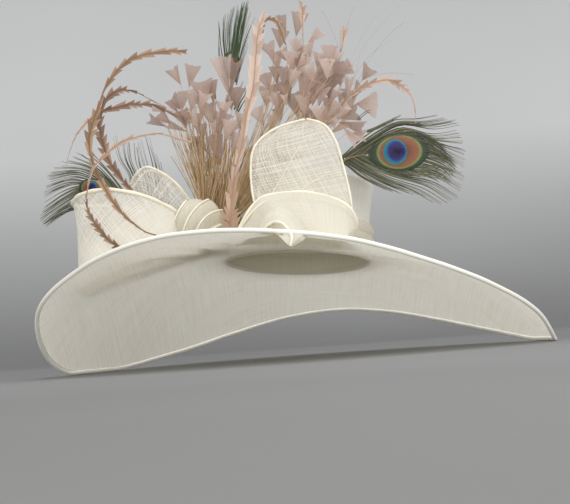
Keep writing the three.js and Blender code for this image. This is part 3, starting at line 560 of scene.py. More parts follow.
t, v = grid(AROUND, 12, ring=True)
band_points = turned(CROWN_RADIUS * (0.994 - 0.022 * np.minimum(v * 5, 1)), CROWN_LIFT - 2.2 + v * 29, t)
uv = np.stack([t * 600, v * 27], -1)
headband = sheet("headband", band_points, "warm", "weave_warm", ring=True, uv=uv)

t, v = grid(256, 60, ring=True)
angle = t * 2 * math.pi
folds = v * 3.4 + 0.35 * np.sin(angle + 0.6) + 0.12 * np.sin(3 * angle)
pleat = np.abs((folds % 1.0) * 1.25 - 0.25) ** 0.7
stand = np.clip(np.sin(v * math.pi) ** 0.35, 0, 1) * (1.2 + 4.6 * pleat)
SASH_HEIGHT = 44
wall_radius = np.interp(v * SASH_HEIGHT / CROWN_HEIGHT, [0, 0.3, 0.5], [1, 0.995, 1.004]) * CROWN_RADIUS + 1.4
sash_points = turned(wall_radius + stand, CROWN_LIFT + 0.8 + v * 43 + 1.2 * np.sin(2 * angle + 1) * v, t)
uv = np.stack([t * 610, arc_lengths(sash_points, 1)], -1)
sash = sheet("sash_cloth", sash_points, "warm", "weave_warm", "crown_sash", ring=True, uv=uv)

# Bow
KNOT_XY = np.array([-88.0, -102.0])
KNOT_FOOT = np.array([*KNOT_XY, float(brim_height(*KNOT_XY)) + 3.8])
CLEAR = 2 * GAP
LEFT_FRONT = [(0.1, 0.22, 0.53), (0.25, -0.14, 0.73), (0.45, -0.46, 0.9), (0.7, -0.5, 1.0), (0.9, -0.42, 0.96),
              (1.0, -0.08, 0.86), (0.97, 0.32, 0.83), (0.8, 0.5, 0.83), (0.5, 0.42, 0.7), (0.15, 0.25, 0.45)]
LEFT_BACK = [(0.0, -0.2, 0.55), (0.3, -0.5, 0.83), (0.7, -0.5, 1.0), (0.95, -0.2, 0.9), (1.0, 0.2, 0.8),
             (0.7, 0.5, 0.985), (0.3, 0.5, 0.82), (0.02, 0.25, 0.5)]


def standing_loop(rows, foot, length, depth, height, drift, u, v, curl_out=0.0):
    row = spline(rows, u)
    x = foot[0] - row[..., 0] * length
    y = foot[1] + row[..., 1] * depth + row[..., 0] * drift
    base = brim_height(x, y) + WALL / 2 + CLEAR
    top = KNOT_FOOT[2] + row[..., 2] * height
    bulge = curl_out * v**6 + 7.0 * (1 - v) ** 1.6 * np.clip(row[..., 0] - 0.5, 0, 1) * (curl_out > 0)
    return np.stack([x - bulge * row[..., 0], y + np.sign(row[..., 1]) * bulge * 0.4, base + (top - base) * v], -1)


def rolled(name, path, radius=1.5):
    """The turned hem of a loop."""
    piece = tube(name, path, radius * (1 + 0.12 * np.sin(np.arange(len(path)) * 0.7)), 8)
    return dress(piece, "hem", "weave_warm")


u, v = grid(120, 36)
points = standing_loop(LEFT_FRONT, (-88, -112), 137, 64, 75, -17, u, v, 4.0)
points[..., 1] += 1.6 * np.sin(u * 26 + v * 5) * (1 - v) * v * 4 + 1.5 * waves(points[..., 0], points[..., 2], 9,
    22.0) * v
seen_u, seen_v = to_pixel(points)
dense = 0.9 * np.clip((seen_u - 84) / 70 + (seen_v - 214) / 40, 0, 1) * (u < 0.55)
left_front = sheet("loop_left_front_cloth", points, "loop", "weave", "loop_left_front", turn=(0.8, 0.6),
    values={"dense": dense})
left_front_hem = rolled("loop_left_front_hem", points[:, -1], 2.3)

u, v = grid(110, 34)
points = standing_loop(LEFT_BACK, (-95, -60), 72, 28, 106, 0, u, v)
points[..., 1] += 0.8 * np.sin(points[..., 0] * 0.42 + points[..., 2] * 0.12) * v
left_back = sheet("loop_left_back_cloth", points, "thin", "weave", "loop_left_back", turn=(0.85, -0.52))
left_back_hem = rolled("loop_left_back_hem", points[:, -1], 1.5)

TALL = [(0.0, -0.5, -0.33, 0.45), (0.35, -0.52, -0.465, 0.47), (0.66, -0.5, -0.47, 0.41), (0.82, -0.42, -0.4, 0.36),
    (0.94, -0.24, -0.2, 0.27),
        (1.0, 0.0, 0.08, 0.11), (0.94, 0.26, -0.16, 0.25), (0.8, 0.42, -0.36, 0.34), (0.6, 0.5, -0.42, 0.4),
        (0.3, 0.5, -0.4, 0.42), (0.0, 0.45, -0.3, 0.4)]


TALL_FOOT = 33, -119
TALL_WIDTH, TALL_DEPTH, TALL_HEIGHT = 118, 38, 143


def tall_loop(u, v):
    row = spline(TALL, u)
    x = TALL_FOOT[0] + (row[..., 2] + (row[..., 3] - row[..., 2]) * v) * TALL_WIDTH
    y = TALL_FOOT[1] + row[..., 1] * TALL_DEPTH
    base = brim_height(x, y) + WALL / 2 + CLEAR
    return np.stack([x, y + 3 * np.sin(v * math.pi) * -np.sign(row[..., 1]),
        base + (KNOT_FOOT[2] + TALL_HEIGHT - base) * row[..., 0]], -1)


u, v = grid(170, 44)
points = tall_loop(u, v)
points[..., 1] += 1.3 * waves(points[..., 0], points[..., 2], 12, 20.0) * np.sin(v * math.pi)
seen_u, seen_v = to_pixel(points)
# The weave is closer to the right of the slanting turned edge
inside = (seen_u - 291.6) * (193.7 - 160) + (seen_v - 160) * (291.6 - 272)
dense = np.clip(inside / 60, 0, 1) * (0.35 + 0.5 * np.clip((seen_v - 150) / 45, 0, 1)) * (u < 0.5) * (seen_v > 150)
tall = sheet("loop_right_tall_cloth", points, "sheer", "weave", "loop_right_tall", turn=(0.96, 0.26),
    values={"dense": dense})
tall_hems = [rolled("loop_right_tall_hem_left", points[:, 0], 1.25),
    rolled("loop_right_tall_hem_right", points[:, -1], 1.4)]
for side, pixels in (("left", [(299, 148), (293, 157), (286, 170), (272, 194)]),
    ("right", [(329, 173), (320, 178), (310, 184), (300, 191)])):
    line = spline(path_at(pixels, [-136, -137.5]), np.linspace(0, 1, 24))
    tall_hems.append(rolled("loop_right_tall_fold_" + side, line, 0.5))

LOW = [(-0.5, 0.0), (-0.455, 0.35), (-0.33, 0.78), (-0.19, 0.93), (0.1, 1.0), (0.39, 0.88), (0.49, 0.6),
    (0.46, 0.25), (0.38, 0.0)]
LOW_ALONG = [  # y, width share, height share, sideways
    (-152, 1.0, 1.0, 0), (-156, 1.015, 1.07, 0), (-160, 0.99, 1.0, 0), (-165, 0.94, 0.88, 1),
    (-170, 0.93, 0.845, 1), (-176, 0.945, 0.88, 1), (-186, 0.94, 0.86, 2), (-198, 0.89, 0.79, 4),
    (-215, 0.81, 0.62, 7), (-231, 0.71, 0.38, 10), (-243, 0.62, 0.14, 12), (-248, 0.57, 0.0, 12),
]


LOW_MIDDLE, LOW_WIDTH, LOW_HEIGHT = 25, 134, 55


def low_loop(u, v):
    arch, row = spline(LOW, u), spline(LOW_ALONG, v)
    x = LOW_MIDDLE + row[..., 3] + arch[..., 0] * LOW_WIDTH * row[..., 1]
    y = row[..., 0]
    base = brim_height(x, y) + WALL / 2 + CLEAR
    pleats = 2.6 * np.sin(v * 34 + u * 4) * bump(u, 0.1, 0.13) + 1.6 * np.sin(v * 22 - u * 6) * bump(u, 0.85, 0.12)
    return np.stack([x - pleats, y + 0.6 * pleats, base + arch[..., 1] * LOW_HEIGHT * row[..., 2]], -1)


u, v = grid(110, 80)
points = low_loop(u, v)
points[..., 2] += 1.2 * waves(points[..., 0], points[..., 1], 15, 18.0) * np.sin(u * math.pi) * np.sin(v * math.pi)
low = sheet("loop_right_low_cloth", points, "warm", "weave", "loop_right_low")
low_hem = rolled("loop_right_low_hem", points[:, 0], 2.4)
line = low_loop(np.linspace(0.02, 0.98, 60), np.full(60, 0.055)) + np.array([0, -0.6, 0.2])
low_folds = [rolled("loop_right_low_roll", line, 2.1)]
thickness = 1.3 * np.sin(np.linspace(0.25, 0.93, 30) * math.pi) + 0.1
FOLD_ENDS = (((0.03, 0.2), (0.4, 0.27)), ((0.02, 0.27), (0.3, 0.42)), ((0.9, 0.22), (0.66, 0.36)))
for index, (start, end) in enumerate(FOLD_ENDS):
    line = low_loop(*np.linspace(start, end, 30).T) + np.array([0, -0.8, 1.0])
    low_folds.append(rolled("loop_right_low_fold_%d" % index, line, thickness))

# Curl: the front of the low loop, turned back on itself into an open fold that hangs over the rim
CURL_GRID = 48, 20
u, v = grid(*CURL_GRID)
lip = np.array([at_pixel(*place) for place in (
    (263, 232, -262), (267, 226, -266), (274, 222, -272), (281.5, 223, -280), (287.5, 228.5, -286),
    (291.5, 236, -294), (291, 246.5, -300))])
behind = np.array([at_pixel(*place) for place in (
    (258, 226, -246), (266, 213, -240), (279, 207, -236), (292, 212, -238), (302, 224, -254), (306, 237, -288),
    (293, 246.5, -299))])
under = np.array([at_pixel(*place) for place in (
    (264, 232, -262), (268, 231, -274), (273, 231.5, -286), (278, 235, -295), (282, 239, -298), (286, 243, -299),
    (290, 246.8, -299))])
lip, behind, under = (spline(rows, u) for rows in (lip, behind, under))
bulge = np.sin(v * math.pi)[..., None]
outer = lip + (behind - lip) * v[..., None] + np.array([0, -3.0, 2.5]) * bulge
open_end = np.sin(np.minimum(u * 1.5, 1) * math.pi)[..., None]
inner = lip + (under - lip) * v[..., None] + np.array([0, 16.0, 0]) * bulge * open_end
faces = np.vstack([grid_faces(*CURL_GRID), grid_faces(*CURL_GRID, start=u.size)])
curl = mesh_piece("loop_curl_cloth", np.concatenate([outer.reshape(-1, 3), inner.reshape(-1, 3)]), faces,
                  np.concatenate([cloth_uv(outer).reshape(-1, 2), cloth_uv(inner).reshape(-1, 2)]))
dress(curl, "warm", "weave_warm", "loop_curl")
curl_hem = rolled("loop_curl_hem", lip[:, 0], 1.5)


# Knot: overlapped wraps round a full middle, each with its own turned edge
t, s = np.meshgrid(np.arange(200) / 200 * 2 * math.pi, np.linspace(0.02, math.pi - 0.02, 120), indexing="ij")
normal = np.stack([np.cos(t) * np.sin(s), np.sin(t) * np.sin(s), np.cos(s)], -1)
knot_centre = KNOT_FOOT + np.array([0, 0, 0.4 + 29 * 1.1])
KNOT_SIZE = np.array([29.5, 24.0, 27.5])
flat = normal * KNOT_SIZE
# The wraps turn round a point low on the right, as ovals WRAP millimetres apart
WRAP, WRAP_X, WRAP_Z, WRAP_NARROW, WRAP_TALL = 13.5, 27, -32, 1.12, 0.88


def wrap_place(x, z):
    """How far out from the point that the wraps turn round, in wraps."""
    return np.hypot((x - WRAP_X) * WRAP_NARROW, (z - WRAP_Z) * WRAP_TALL) / WRAP


wraps = wrap_place(flat[..., 0], flat[..., 2])
along = wraps % 1.0
step_up = along**0.8 * (1 - along**9)
knot_points = knot_centre + flat + normal * (5.4 * step_up - 1.2 + 0.3 * np.sin(wraps * 44))[..., None]
knot_points[..., 2] = np.maximum(knot_points[..., 2], brim_height(knot_points[..., 0], knot_points[..., 1]) + 1.1)
uv = np.stack([t * 30, wraps * WRAP], -1)
knot = sheet("knot_cloth", knot_points, "warm", "weave_warm", "knot", ring=True, uv=uv)
for ring in (2, 3, 4, 5):
    turn = np.linspace(0.3 * math.pi, 1.1 * math.pi, 80)
    reach = (ring - 0.12) * WRAP
    x, z = WRAP_X + np.cos(turn) * reach / WRAP_NARROW, WRAP_Z + np.sin(turn) * reach / WRAP_TALL
    depth = 1 - (x / KNOT_SIZE[0]) ** 2 - (z / KNOT_SIZE[2]) ** 2
    keep = depth > 0.02
    line = np.stack([x, -KNOT_SIZE[1] * np.sqrt(np.maximum(depth, 0)), z], -1)[keep]
    if len(line) > 8:
        line = line * (1 + 3.4 / np.linalg.norm(line, axis=-1, keepdims=True)) + knot_centre
        line[:, 2] = np.maximum(line[:, 2], brim_height(line[:, 0], line[:, 1]) + 2.2)
        rolled("knot_edge_%d" % ring, line, 1.1)


# Feathers
def smooth_path(path, steps):
    return spline(path, np.linspace(0, 1, steps))


def vane_piece(name, parts, material, slot, *nodes):
    """One mesh from parts of (points n x m x 3, closed round, share, barb, shade)."""
    points, faces, share, barb, shade = [], [], [], [], []
    count = 0
    for place, closed, *values in parts:
        n, m, _ = place.shape
        points.append(place.reshape(-1, 3))
        faces.append(grid_faces(n, m, tube=closed, start=count))
        for into, value in zip((share, barb, shade), values):
            into.append(np.broadcast_to(value, (n, m)).ravel())
        count += n * m
    values = {"share": np.concatenate(share), "barb": np.concatenate(barb), "shade": np.concatenate(shade)}
    return dress(mesh_piece(name, np.vstack(points), np.vstack(faces), None, values), material, slot, *nodes)


SWEEP = 0.5


def saw_feather(name, path, half, teeth, material, *nodes, quill=0.7, least=0.28, fold=0.35, tint=lambda s: 0.5):
    """A trimmed feather: each side of its vane is a row of teeth, widest at the tip end of each.

    half is the half width along it, in rows of share and millimetres.
    """
    half_at, half_widths = np.array(half, float).T
    steps = 400
    line = smooth_path(path, steps)
    marks = np.linspace(0, 1, steps)
    at = lambda s: np.stack([np.interp(s, marks, line[:, k]) for k in range(3)], -1)
    face = np.array([0.0, -1.0, 0.0])
    a, b = grid(9, 4)
    parts = []
    for side in (-1, 1):
        for i in range(teeth):
            start = (i + (0.2 if side > 0 else 0.0) + 0.16 * rng.uniform(0, 1)) / teeth
            end = start + rng.uniform(0.95, 1.2) / teeth
            reach = np.interp(min((start + end) / 2, 1), half_at, half_widths) * rng.uniform(0.85, 1.15)
            if start < 0 or end > 1.03 or reach < 0.7:
                continue
            base = at(np.clip(start + (end - start) * a, 0, 1))
            along = unit(at(min(end, 1.0)) - at(start))
            out = unit(np.cross(along, face)) * side
            wide = (reach * (least + (1 - least) * a**0.9) * b)[..., None]
            lift = fold * rng.uniform(-0.4, 1.2) * wide + 0.5 * np.sin(b * 3.1)[..., None]
            shade = np.clip(tint(start) + rng.uniform(-0.5, 0.5), 0, 1)
            parts.append((base + out * wide + along * SWEEP * wide + face * lift, False, 0.15 + 0.85 * b,
                a * 0.6 + i * 0.37, shade))
    stem = tube_points(line[::4], quill * np.linspace(1.25, 0.35, len(line[::4])), 6)
    parts.append((stem, True, 0.12, 0.0, 0.4))
    return vane_piece(name, parts, material, "feather_pink" if material == "pink" else "feather_tan", *nodes)


def on_brim(x, y, rise=1.2):
    return np.array([x, y, float(brim_height(x, y)) + rise])


# Curled feathers at the wearer's right: pixels of their quills from root to tip
curl_high = path_at([(160, 238), (144, 231), (127, 218), (113, 202), (102, 183), (93, 165), (89, 143), (92, 126),
    (97, 110),
                     (104, 91), (113, 76), (127, 62), (144, 55), (169, 51), (186, 52)],
                     [-150, -172, -176, -176, -176])
curl_high = np.vstack([on_brim(curl_high[0][0] + 6, -148), curl_high])
saw_feather("feather_curl_high_vane", curl_high, ((0, 0.6), (0.14, 1.2), (0.25, 4.5), (0.33, 5.0), (0.4, 3.4),
    (0.5, 8.0), (0.56, 7.0), (0.6, 2.2), (0.66, 1.6),
            (0.7, 4.5), (0.9, 5.0), (1, 3.4)), 24, "tan", "feather_curl_high")
curl_low = path_at([(152, 247), (122, 249), (106, 237), (97, 226), (88.5, 212), (86, 195)],
    [-150, -184, -190, -190])
curl_low[0] = on_brim(curl_low[0][0], -148, 4.0)
saw_feather("feather_curl_low_vane", curl_low, ((0, 1), (0.2, 4.5), (0.65, 5.0), (0.85, 2.4), (1, 1.2)),
            11, "brown", "feather_curl_low", tint=lambda s: 0.7)
low_tip = path_at([(86, 197), (93, 169), (113, 148), (127, 140), (145, 135), (164, 134.5), (190, 143)],
    [-190, -188, -184])
saw_feather("feather_curl_low_tip", low_tip, ((0, 1.2), (0.2, 2.0), (0.3, 4.4), (0.5, 3.6), (0.62, 2.0),
    (0.85, 1.6), (1, 2.6)), 11, "pink")
curl_middle = path_at([(150, 213), (133, 193), (124, 182), (114.5, 169), (107, 156), (103, 142), (99, 127),
    (100, 113), (107, 110), (127, 105),
                       (138, 104.5), (153, 105), (178, 117)], [-112, -114, -120, -125, -125])
saw_feather("feather_curl_middle_vane", curl_middle, ((0, 2), (0.12, 4.5), (0.3, 6.5), (0.46, 7.5), (0.56, 6.0),
    (0.64, 4.0), (0.72, 5.5), (0.86, 5.0), (1, 2.0)),
            19, "brown", "feather_curl_middle")
branch = path_at([(100, 122), (102, 105), (109, 96), (118, 91), (127, 90), (138, 93), (151, 100), (166, 107)],
    [-150, -148])
saw_feather("feather_curl_branch", branch, ((0, 4), (0.3, 6.5), (0.5, 4), (0.75, 0.8), (1, 0.5)), 9, "brown",
    quill=0.6)
thin = path_at([(104, 96), (96, 113), (84, 125), (76, 136), (70, 151), (66, 167), (65, 189)], [-174, -172, -172])
saw_feather("feather_thin_stem", thin, ((0, 1), (0.2, 4.5), (0.35, 2.5), (0.5, 0.8), (1, 0.6)), 11, "pink",
    quill=0.5)

# Tall straight feather, and the small ones by it
tall_path = path_at([(229, 236), (230, 222), (231, 209), (234.5, 173), (242, 145), (247, 113), (253, 87), (256, 54),
    (258, 33), (262, 20), (265, 11)], [-148])
tall_path[0] = on_brim(tall_path[0][0], -147)
saw_feather("feather_tall_vane", tall_path, ((0, 9), (0.06, 13.0), (0.14, 11.5), (0.22, 7.2), (0.31, 4.8),
    (0.47, 4.8), (0.54, 7.6), (0.8, 8.0), (0.88, 4.8), (1, 1.4)),
            22, "pink", "feather_tall", quill=0.6, least=0.55, fold=0.15, tint=lambda s: 1.15 - 1.5 * s)
hook = path_at([(262, 40), (263, 28), (265, 21), (271, 19), (278, 24), (285, 45)], [-146, -140])
saw_feather("feather_hook", hook, ((0, 1), (0.4, 3.5), (0.8, 4.5), (1, 1.5)), 9, "tan")
right_thin = path_at([(332, 118), (340, 105), (354, 93), (363, 87), (376, 82), (389, 80), (398, 84), (405, 89),
    (410, 94.5), (414, 104), (416, 123)], [-84, -82])
saw_feather("feather_right_thin", right_thin, ((0, 1), (0.2, 5), (0.55, 6.5), (0.7, 4.5), (0.78, 2), (1, 0.6)), 15,
    "pink")
pale = path_at([(303, 60), (303, 40), (302.5, 20), (302, 2)], [-92, -92])
saw_feather("feather_pale", pale, ((0, 0.5), (0.5, 1), (0.7, 6), (1, 4)), 7, "pink", quill=0.5)
pale = path_at([(336, 74), (341, 52), (343.5, 38), (344, 26)], [-92, -92])
saw_feather("feather_pale_right", pale, ((0, 0.5), (0.4, 1), (0.7, 6.5), (1, 6)), 5, "pink", quill=0.5)


# Fan-tipped plumes: apex pixel, size in pixels, lean from upright and openness in degrees
def fans(name, rows, head, layers, node):
    parts, stems = [], []
    for index, (u, v, size, lean, half) in enumerate(rows):
        apex = at_pixel(u, v, layers[0] + (layers[1] - layers[0]) * ((index * 0.618) % 1.0))
        reach, notch, turn = size * 1.26, rng.uniform(-0.06, 0.2), rng.uniform(-0.7, 0.7)
        a, b = np.meshgrid(np.linspace(-1, 1, 11), np.linspace(0, 1, 5), indexing="ij")
        theta = np.radians(lean + a * half)
        uneven = 1 + 0.02 * np.sin(a * 23 + index)
        edge = reach * (1 - notch * (1 - np.abs(a))) / np.cos(np.radians(a * half * 0.8)) * uneven
        r = edge * (0.04 + 0.96 * b)
        depth = a * turn * 0.5 * r + 2.4 * np.sin(a * 2.6 + index) * b + 2.0 * b * b * (1 if index % 2 else -1)
        fan = apex + np.stack([np.sin(theta) * r, depth, np.cos(theta) * r], -1)
        parts.append((fan, False, 0.2 + 0.8 * b, a * 1.6 + index * 0.7, rng.uniform()))
        foot = head + np.array([rng.uniform(-3, 3), rng.uniform(-2, 2), rng.uniform(-8, 2)])
        mid = (foot + apex) / 2 + np.array([(apex[0] - foot[0]) * 0.12 * rng.uniform(-1, 1), 0, 6 * rng.uniform()])
        axis = np.array([math.sin(math.radians(lean)), 0, math.cos(math.radians(lean))]) * reach * 0.55
        line = spline([foot, mid, apex, apex + axis], np.linspace(0, 1, 16))
        stems.append((tube_points(line, np.linspace(0.42, 0.2, 16), 5), True, 0.5, 0.3, rng.uniform(0.3, 1)))
    vane_piece(name, parts, "mauve", "feather_mauve", node)
    vane_piece(name + "_stems", stems, "straw", "feather_mauve")


def more_fans(count, middle, spread, root):
    """Further fans scattered over an oval of pixels, leaning away from their root."""
    rows = []
    for _ in range(count):
        turn, out = rng.uniform(0, 2 * math.pi), rng.uniform(0, 1) ** 0.6
        u, v = middle[0] + spread[0] * out * math.cos(turn), middle[1] + spread[1] * out * math.sin(turn)
        lean = math.degrees(math.atan2(u - root[0], root[1] - v)) + rng.uniform(-35, 35)
        rows.append((u, v, rng.uniform(12, 21), lean, rng.uniform(14, 27)))
    return rows


LEFT_FANS = [
    (181, 85, 19, -26, 20), (189, 88, 23, 14, 20), (206, 105, 25, -8, 26), (181, 110, 17, -36, 24),
    (174, 112, 20, -76, 11), (191, 112, 18, 12, 22), (213, 128, 24, -10, 22), (223, 120, 19, 8, 26),
    (167, 127, 20, -62, 14), (188, 132, 22, -64, 12), (198, 128, 20, -24, 24), (207, 152, 18, -34, 26),
    (222, 164, 28, -12, 18), (227, 142, 22, 12, 20), (240, 130, 18, 10, 22), (214, 104, 22, -4, 18),
    (200, 120, 18, 20, 20), (236, 110, 21, 4, 24), (232, 152, 20, 20, 20), (229, 94, 38, 0, 8),
    (229, 96, 38, -15, 9), (230, 95, 37, 14, 9), (216, 100, 18, -12, 16), (193, 124, 18, -48, 18),
    (219, 138, 18, 2, 24), (204, 140, 16, -10, 24),
]
RIGHT_FANS = [
    (274, 60, 19, -20, 26), (280, 49, 19, 6, 26), (284, 88, 19, 0, 16), (278, 72, 20, -4, 22), (292, 71, 19, 2, 26),
    (286, 37, 22, -8, 13), (296, 37, 24, 14, 20), (308, 43, 18, 52, 22), (310, 61, 19, -10, 26),
    (296, 55, 15, 0, 25), (331, 72, 25, 0, 19), (340, 87, 25, 2, 22), (303, 85, 28, -2, 13), (327, 80, 20, 4, 22),
    (330, 100, 24, -4, 25), (307, 95, 24, -6, 19), (266, 107, 22, 6, 24), (281, 121, 27, 0, 16),
    (347, 101, 24, 10, 12), (349, 117, 24, 6, 18), (362, 81, 16, 36, 28), (356, 104, 20, 96, 34),
    (318, 112, 20, 108, 32), (323, 129, 24, -2, 26), (334, 119, 26, 78, 18), (338, 122, 26, 108, 14),
    (342, 126, 24, 142, 15), (330, 134, 20, 60, 16), (256, 156, 19, 70, 28), (262, 200, 20, -42, 26),
    (290, 104, 22, -14, 24), (315, 84, 20, -22, 24), (298, 118, 24, -10, 22), (312, 106, 22, 16, 22),
    (270, 92, 18, -14, 26), (340, 112, 22, 18, 20), (320, 72, 17, 20, 24), (288, 62, 15, -26, 26),
    (264, 126, 18, -22, 24), (300, 102, 22, 22, 22), (332, 90, 18, 26, 24), (272, 134, 20, 8, 20),
    (310, 120, 22, -24, 22), (352, 100, 20, 34, 18), (290, 88, 18, 18, 24), (322, 98, 22, -20, 20),
    (346, 134, 20, 100, 16), (258, 186, 13, -14, 24),
]
left_head = np.array([-84.0, -69.0, float(brim_height(-85.7, -69.1)) + 40])
right_head = np.array([-50.0, -86.0, float(brim_height(-50, -86)) + 42])
fans("plume_left_fans", LEFT_FANS + more_fans(20, (203, 122), (34, 26), (212, 215)), left_head, (-90, -48),
    "plume_left")
fans("plume_right_fans", RIGHT_FANS + more_fans(40, (310, 98), (44, 36), (262, 190)), right_head, (-112, -62),
    "plume_right")

# Straw strands
count = 190
lean = np.radians(rng.uniform(-26, 46, count) * rng.uniform(0.4, 1.0, count))
reach = rng.uniform(95, 150, count) * (1 - 0.25 * np.abs(lean))
foot = np.array([-70.0, -56.0, float(brim_height(-70, -56)) + 30])
share = np.linspace(0, 1, 12)[None]
droop = rng.uniform(-14, 14, count)[:, None] * share**2.2
curves = np.stack([
    foot[0] + rng.uniform(-5, 5, (count, 1)) + np.sin(lean)[:, None] * reach[:, None] * share + droop,
    foot[1] + rng.uniform(-16, 16, (count, 1)) * share,
    foot[2] + np.cos(lean)[:, None] * reach[:, None] * share - np.abs(droop) * 0.3
    + rng.uniform(-25, 0, (count, 1)) * (1 - share),
], -1)
facing = np.stack([rng.uniform(-0.7, 0.7, count), -np.ones(count), rng.uniform(-0.2, 0.2, count)], -1)
straw = ribbons("straw_strands", curves, 1.3 * (1 - 0.55 * share), facing)
dress(straw, "straw", "straw", "straw_spray")

# Fine hairs over the right plume
tops = path_at([(354, 6), (349, 22), (400, 4), (376, 16), (340, 30), (415, 75), (392, 40), (322, 10), (366, 46),
    (404, 22)], [-88])
starts = np.array([at_pixel(330 + 3.0 * i, 96 - 1.5 * i, -88) for i in range(len(tops))])
share = np.linspace(0, 1, 14)[None, :, None]
bend = np.array([0.0, 0.0, 9.0]) * np.sin(share * math.pi)
hairs = ribbons("fine_hairs", starts[:, None] * (1 - share) + tops[:, None] * share + bend, 0.28, (0, -1, 0))
dress(hairs, "hair", "feather_mauve")


# Peacock feathers
BARB_STEPS, QUILL_STEPS = 18, 40


def barbs(name, groups, y, *nodes, dark=1.8, material="barb"):
    """Curved barbs. A group is its count, strands a barb, width, and the pixels of its guide barbs."""
    curves, widths, tones = [], [], []
    share = np.linspace(0, 1, BARB_STEPS)
    for count, each, width, *guides in groups:
        guides = np.array(guides, float)
        barb = spline(guides.reshape(len(guides), -1), np.linspace(0, 1, count)).reshape(count, -1, 2)
        for index, line in enumerate(barb):
            line = spline(line + rng.normal(0, 0.8, (1, 2)) * np.linspace(0.4, 1.6, len(line))[:, None], share)
            depth = y - 5 * math.sin(index * 1.9) * share - 2 * share
            middle = np.array([at_pixel(u, v, d) for (u, v), d in zip(line, depth)])
            tone = 0.75 * rng.uniform() ** dark
            for _ in range(each):
                curves.append(middle + rng.normal(0, 0.45, 3) + rng.normal(0, 0.75, 3) * (share**1.6)[:, None])
                widths.append(width * rng.uniform(0.6, 1.2) * (1 - 0.75 * share**1.4))
                tones.append(np.full(BARB_STEPS, np.clip(tone + rng.uniform(-0.15, 0.4), 0, 1)))
    n = len(curves)
    facing = np.stack([rng.uniform(-0.8, 0.8, n), -np.ones(n), rng.uniform(-0.3, 0.3, n)], -1)
    obj = ribbons(name, curves, widths, facing, {"shade": np.array(tones)})
    dress(obj, material, "peacock", *nodes)


def eye_vane(name, centre, half_long, half_high, tilt=0.0):
    """The eye: a slightly domed oval of close barbs with a core, a teal and a bronze ring."""
    t, r = np.meshgrid(np.arange(192) / 192 * 2 * math.pi, np.linspace(0.0, 1.2, 36), indexing="ij")
    ripple = 0.02 * np.sin(t * 31) + 0.02 * np.sin(t * 47 + 1) + 0.12 * np.abs(np.cos(t)) ** 3
    ragged = 1 + ripple * np.maximum(r - 0.95, 0) * 3
    a, b = np.cos(t) * r, np.sin(t) * r
    x, z = a * half_long * ragged, b * half_high * ragged
    ct, st = math.cos(tilt), math.sin(tilt)
    points = centre + np.stack([x * ct - z * st, -2.2 * (1 - r**2) + 0.3 * np.sin(t * 60), x * st + z * ct], -1)
    points[..., 1] += 2.0 * np.maximum(r - 1, 0)
    core, teal, bronze = (np.hypot((a - at_a) / wide, (b - at_b) / high) for at_a, at_b, wide, high in (
        (-0.13, 0.06, 0.38, 0.58), (-0.19, 0.02, 0.52, 0.75), (0.01, 0.0, 0.91, 0.92)))
    between = lambda inside, outside: (inside - 1) / np.maximum(inside - outside, 1e-3)
    value = np.select([core < 1, teal < 1, bronze < 1, r < 1], [
        0.38 * core, 0.4 + 0.16 * between(core, teal), 0.58 + 0.27 * between(teal, bronze),
        0.87 + 0.05 * between(bronze, r)], 0.93 + 0.5 * (r - 1))
    values = {"eye": np.clip(value, 0, 1), "barb": b * 3 + 0.3 * a}
    dress(mesh_piece(name, points, grid_faces(192, 36, ring=True), None, values), "eye", "peacock")


def peacock_quill(side, quill, root, thin=0.4):
    quill[0] = root
    radius = np.linspace(1.1, thin, QUILL_STEPS)
    dress(tube("peacock_%s_quill" % side, smooth_path(quill, QUILL_STEPS), radius, 6), "straw", "peacock")


# Right feather: quill from behind the tall loop to its eye
quill = path_at([(318, 190), (330, 172), (345, 160), (362, 155), (378, 153)], [-96, -88, -70, -66])
peacock_quill("right", quill, on_brim(quill[0][0], -96))
eye_vane("peacock_right_eye", at_pixel(399.3, 151.9, -72), 27.2, 20.4, 0.03)
barbs("peacock_right_barbs", [
    (19, 3, 1.15, [(340, 160), (366, 138), (394, 122.5), (420, 121), (440, 118)], [(343, 158), (370, 140),
        (398, 125), (430, 127), (455, 123)], [(348, 157), (374, 142), (404, 129), (434, 138), (459, 136)],
        [(356, 156), (382, 140), (412, 131), (438, 142), (464, 149)], [(368, 154), (390, 137), (418, 136),
        (444, 152), (465, 168)]),
    (23, 3, 1.1, [(340, 161), (348, 167), (360, 177), (372, 184), (384, 190)], [(342, 160), (354, 168), (370, 179),
        (386, 187), (400, 193)], [(345, 159), (360, 169), (378, 179), (398, 188), (415, 194)], [(348, 158),
        (368, 170), (392, 181), (418, 190), (441, 204)], [(354, 157), (376, 169), (402, 177), (430, 184),
        (455, 199)], [(360, 156), (382, 168), (408, 172), (438, 175), (461, 187)], [(370, 155), (390, 169),
        (418, 166), (442, 166), (463, 173)]),
    (120, 2, 0.9, [(350, 157), (364, 148), (380, 138), (400, 132)], [(362, 155), (372, 146), (390, 136),
        (416, 134)], [(412, 134), (424, 136), (434, 142), (444, 150)], [(420, 140), (432, 146), (442, 153),
        (452, 160)], [(424, 150), (434, 153), (446, 158), (456, 166)], [(424, 160), (434, 163), (444, 168),
        (452, 176)], [(412, 170), (424, 172), (434, 176), (444, 182)], [(362, 155), (374, 162), (392, 171),
        (414, 174)], [(350, 158), (364, 164), (380, 170), (400, 175)]),
    (3, 2, 1.0, [(366, 131), (376, 127), (388, 121), (401, 115)], [(367, 132.5), (378, 128.5), (390, 123),
        (398, 118)]),
    (2, 2, 1.0, [(357, 119.5), (361, 115), (366, 111.5), (371, 110)], [(358, 120), (362, 116), (366, 112.5),
        (369, 111.5)]),
], -68, "peacock_right")

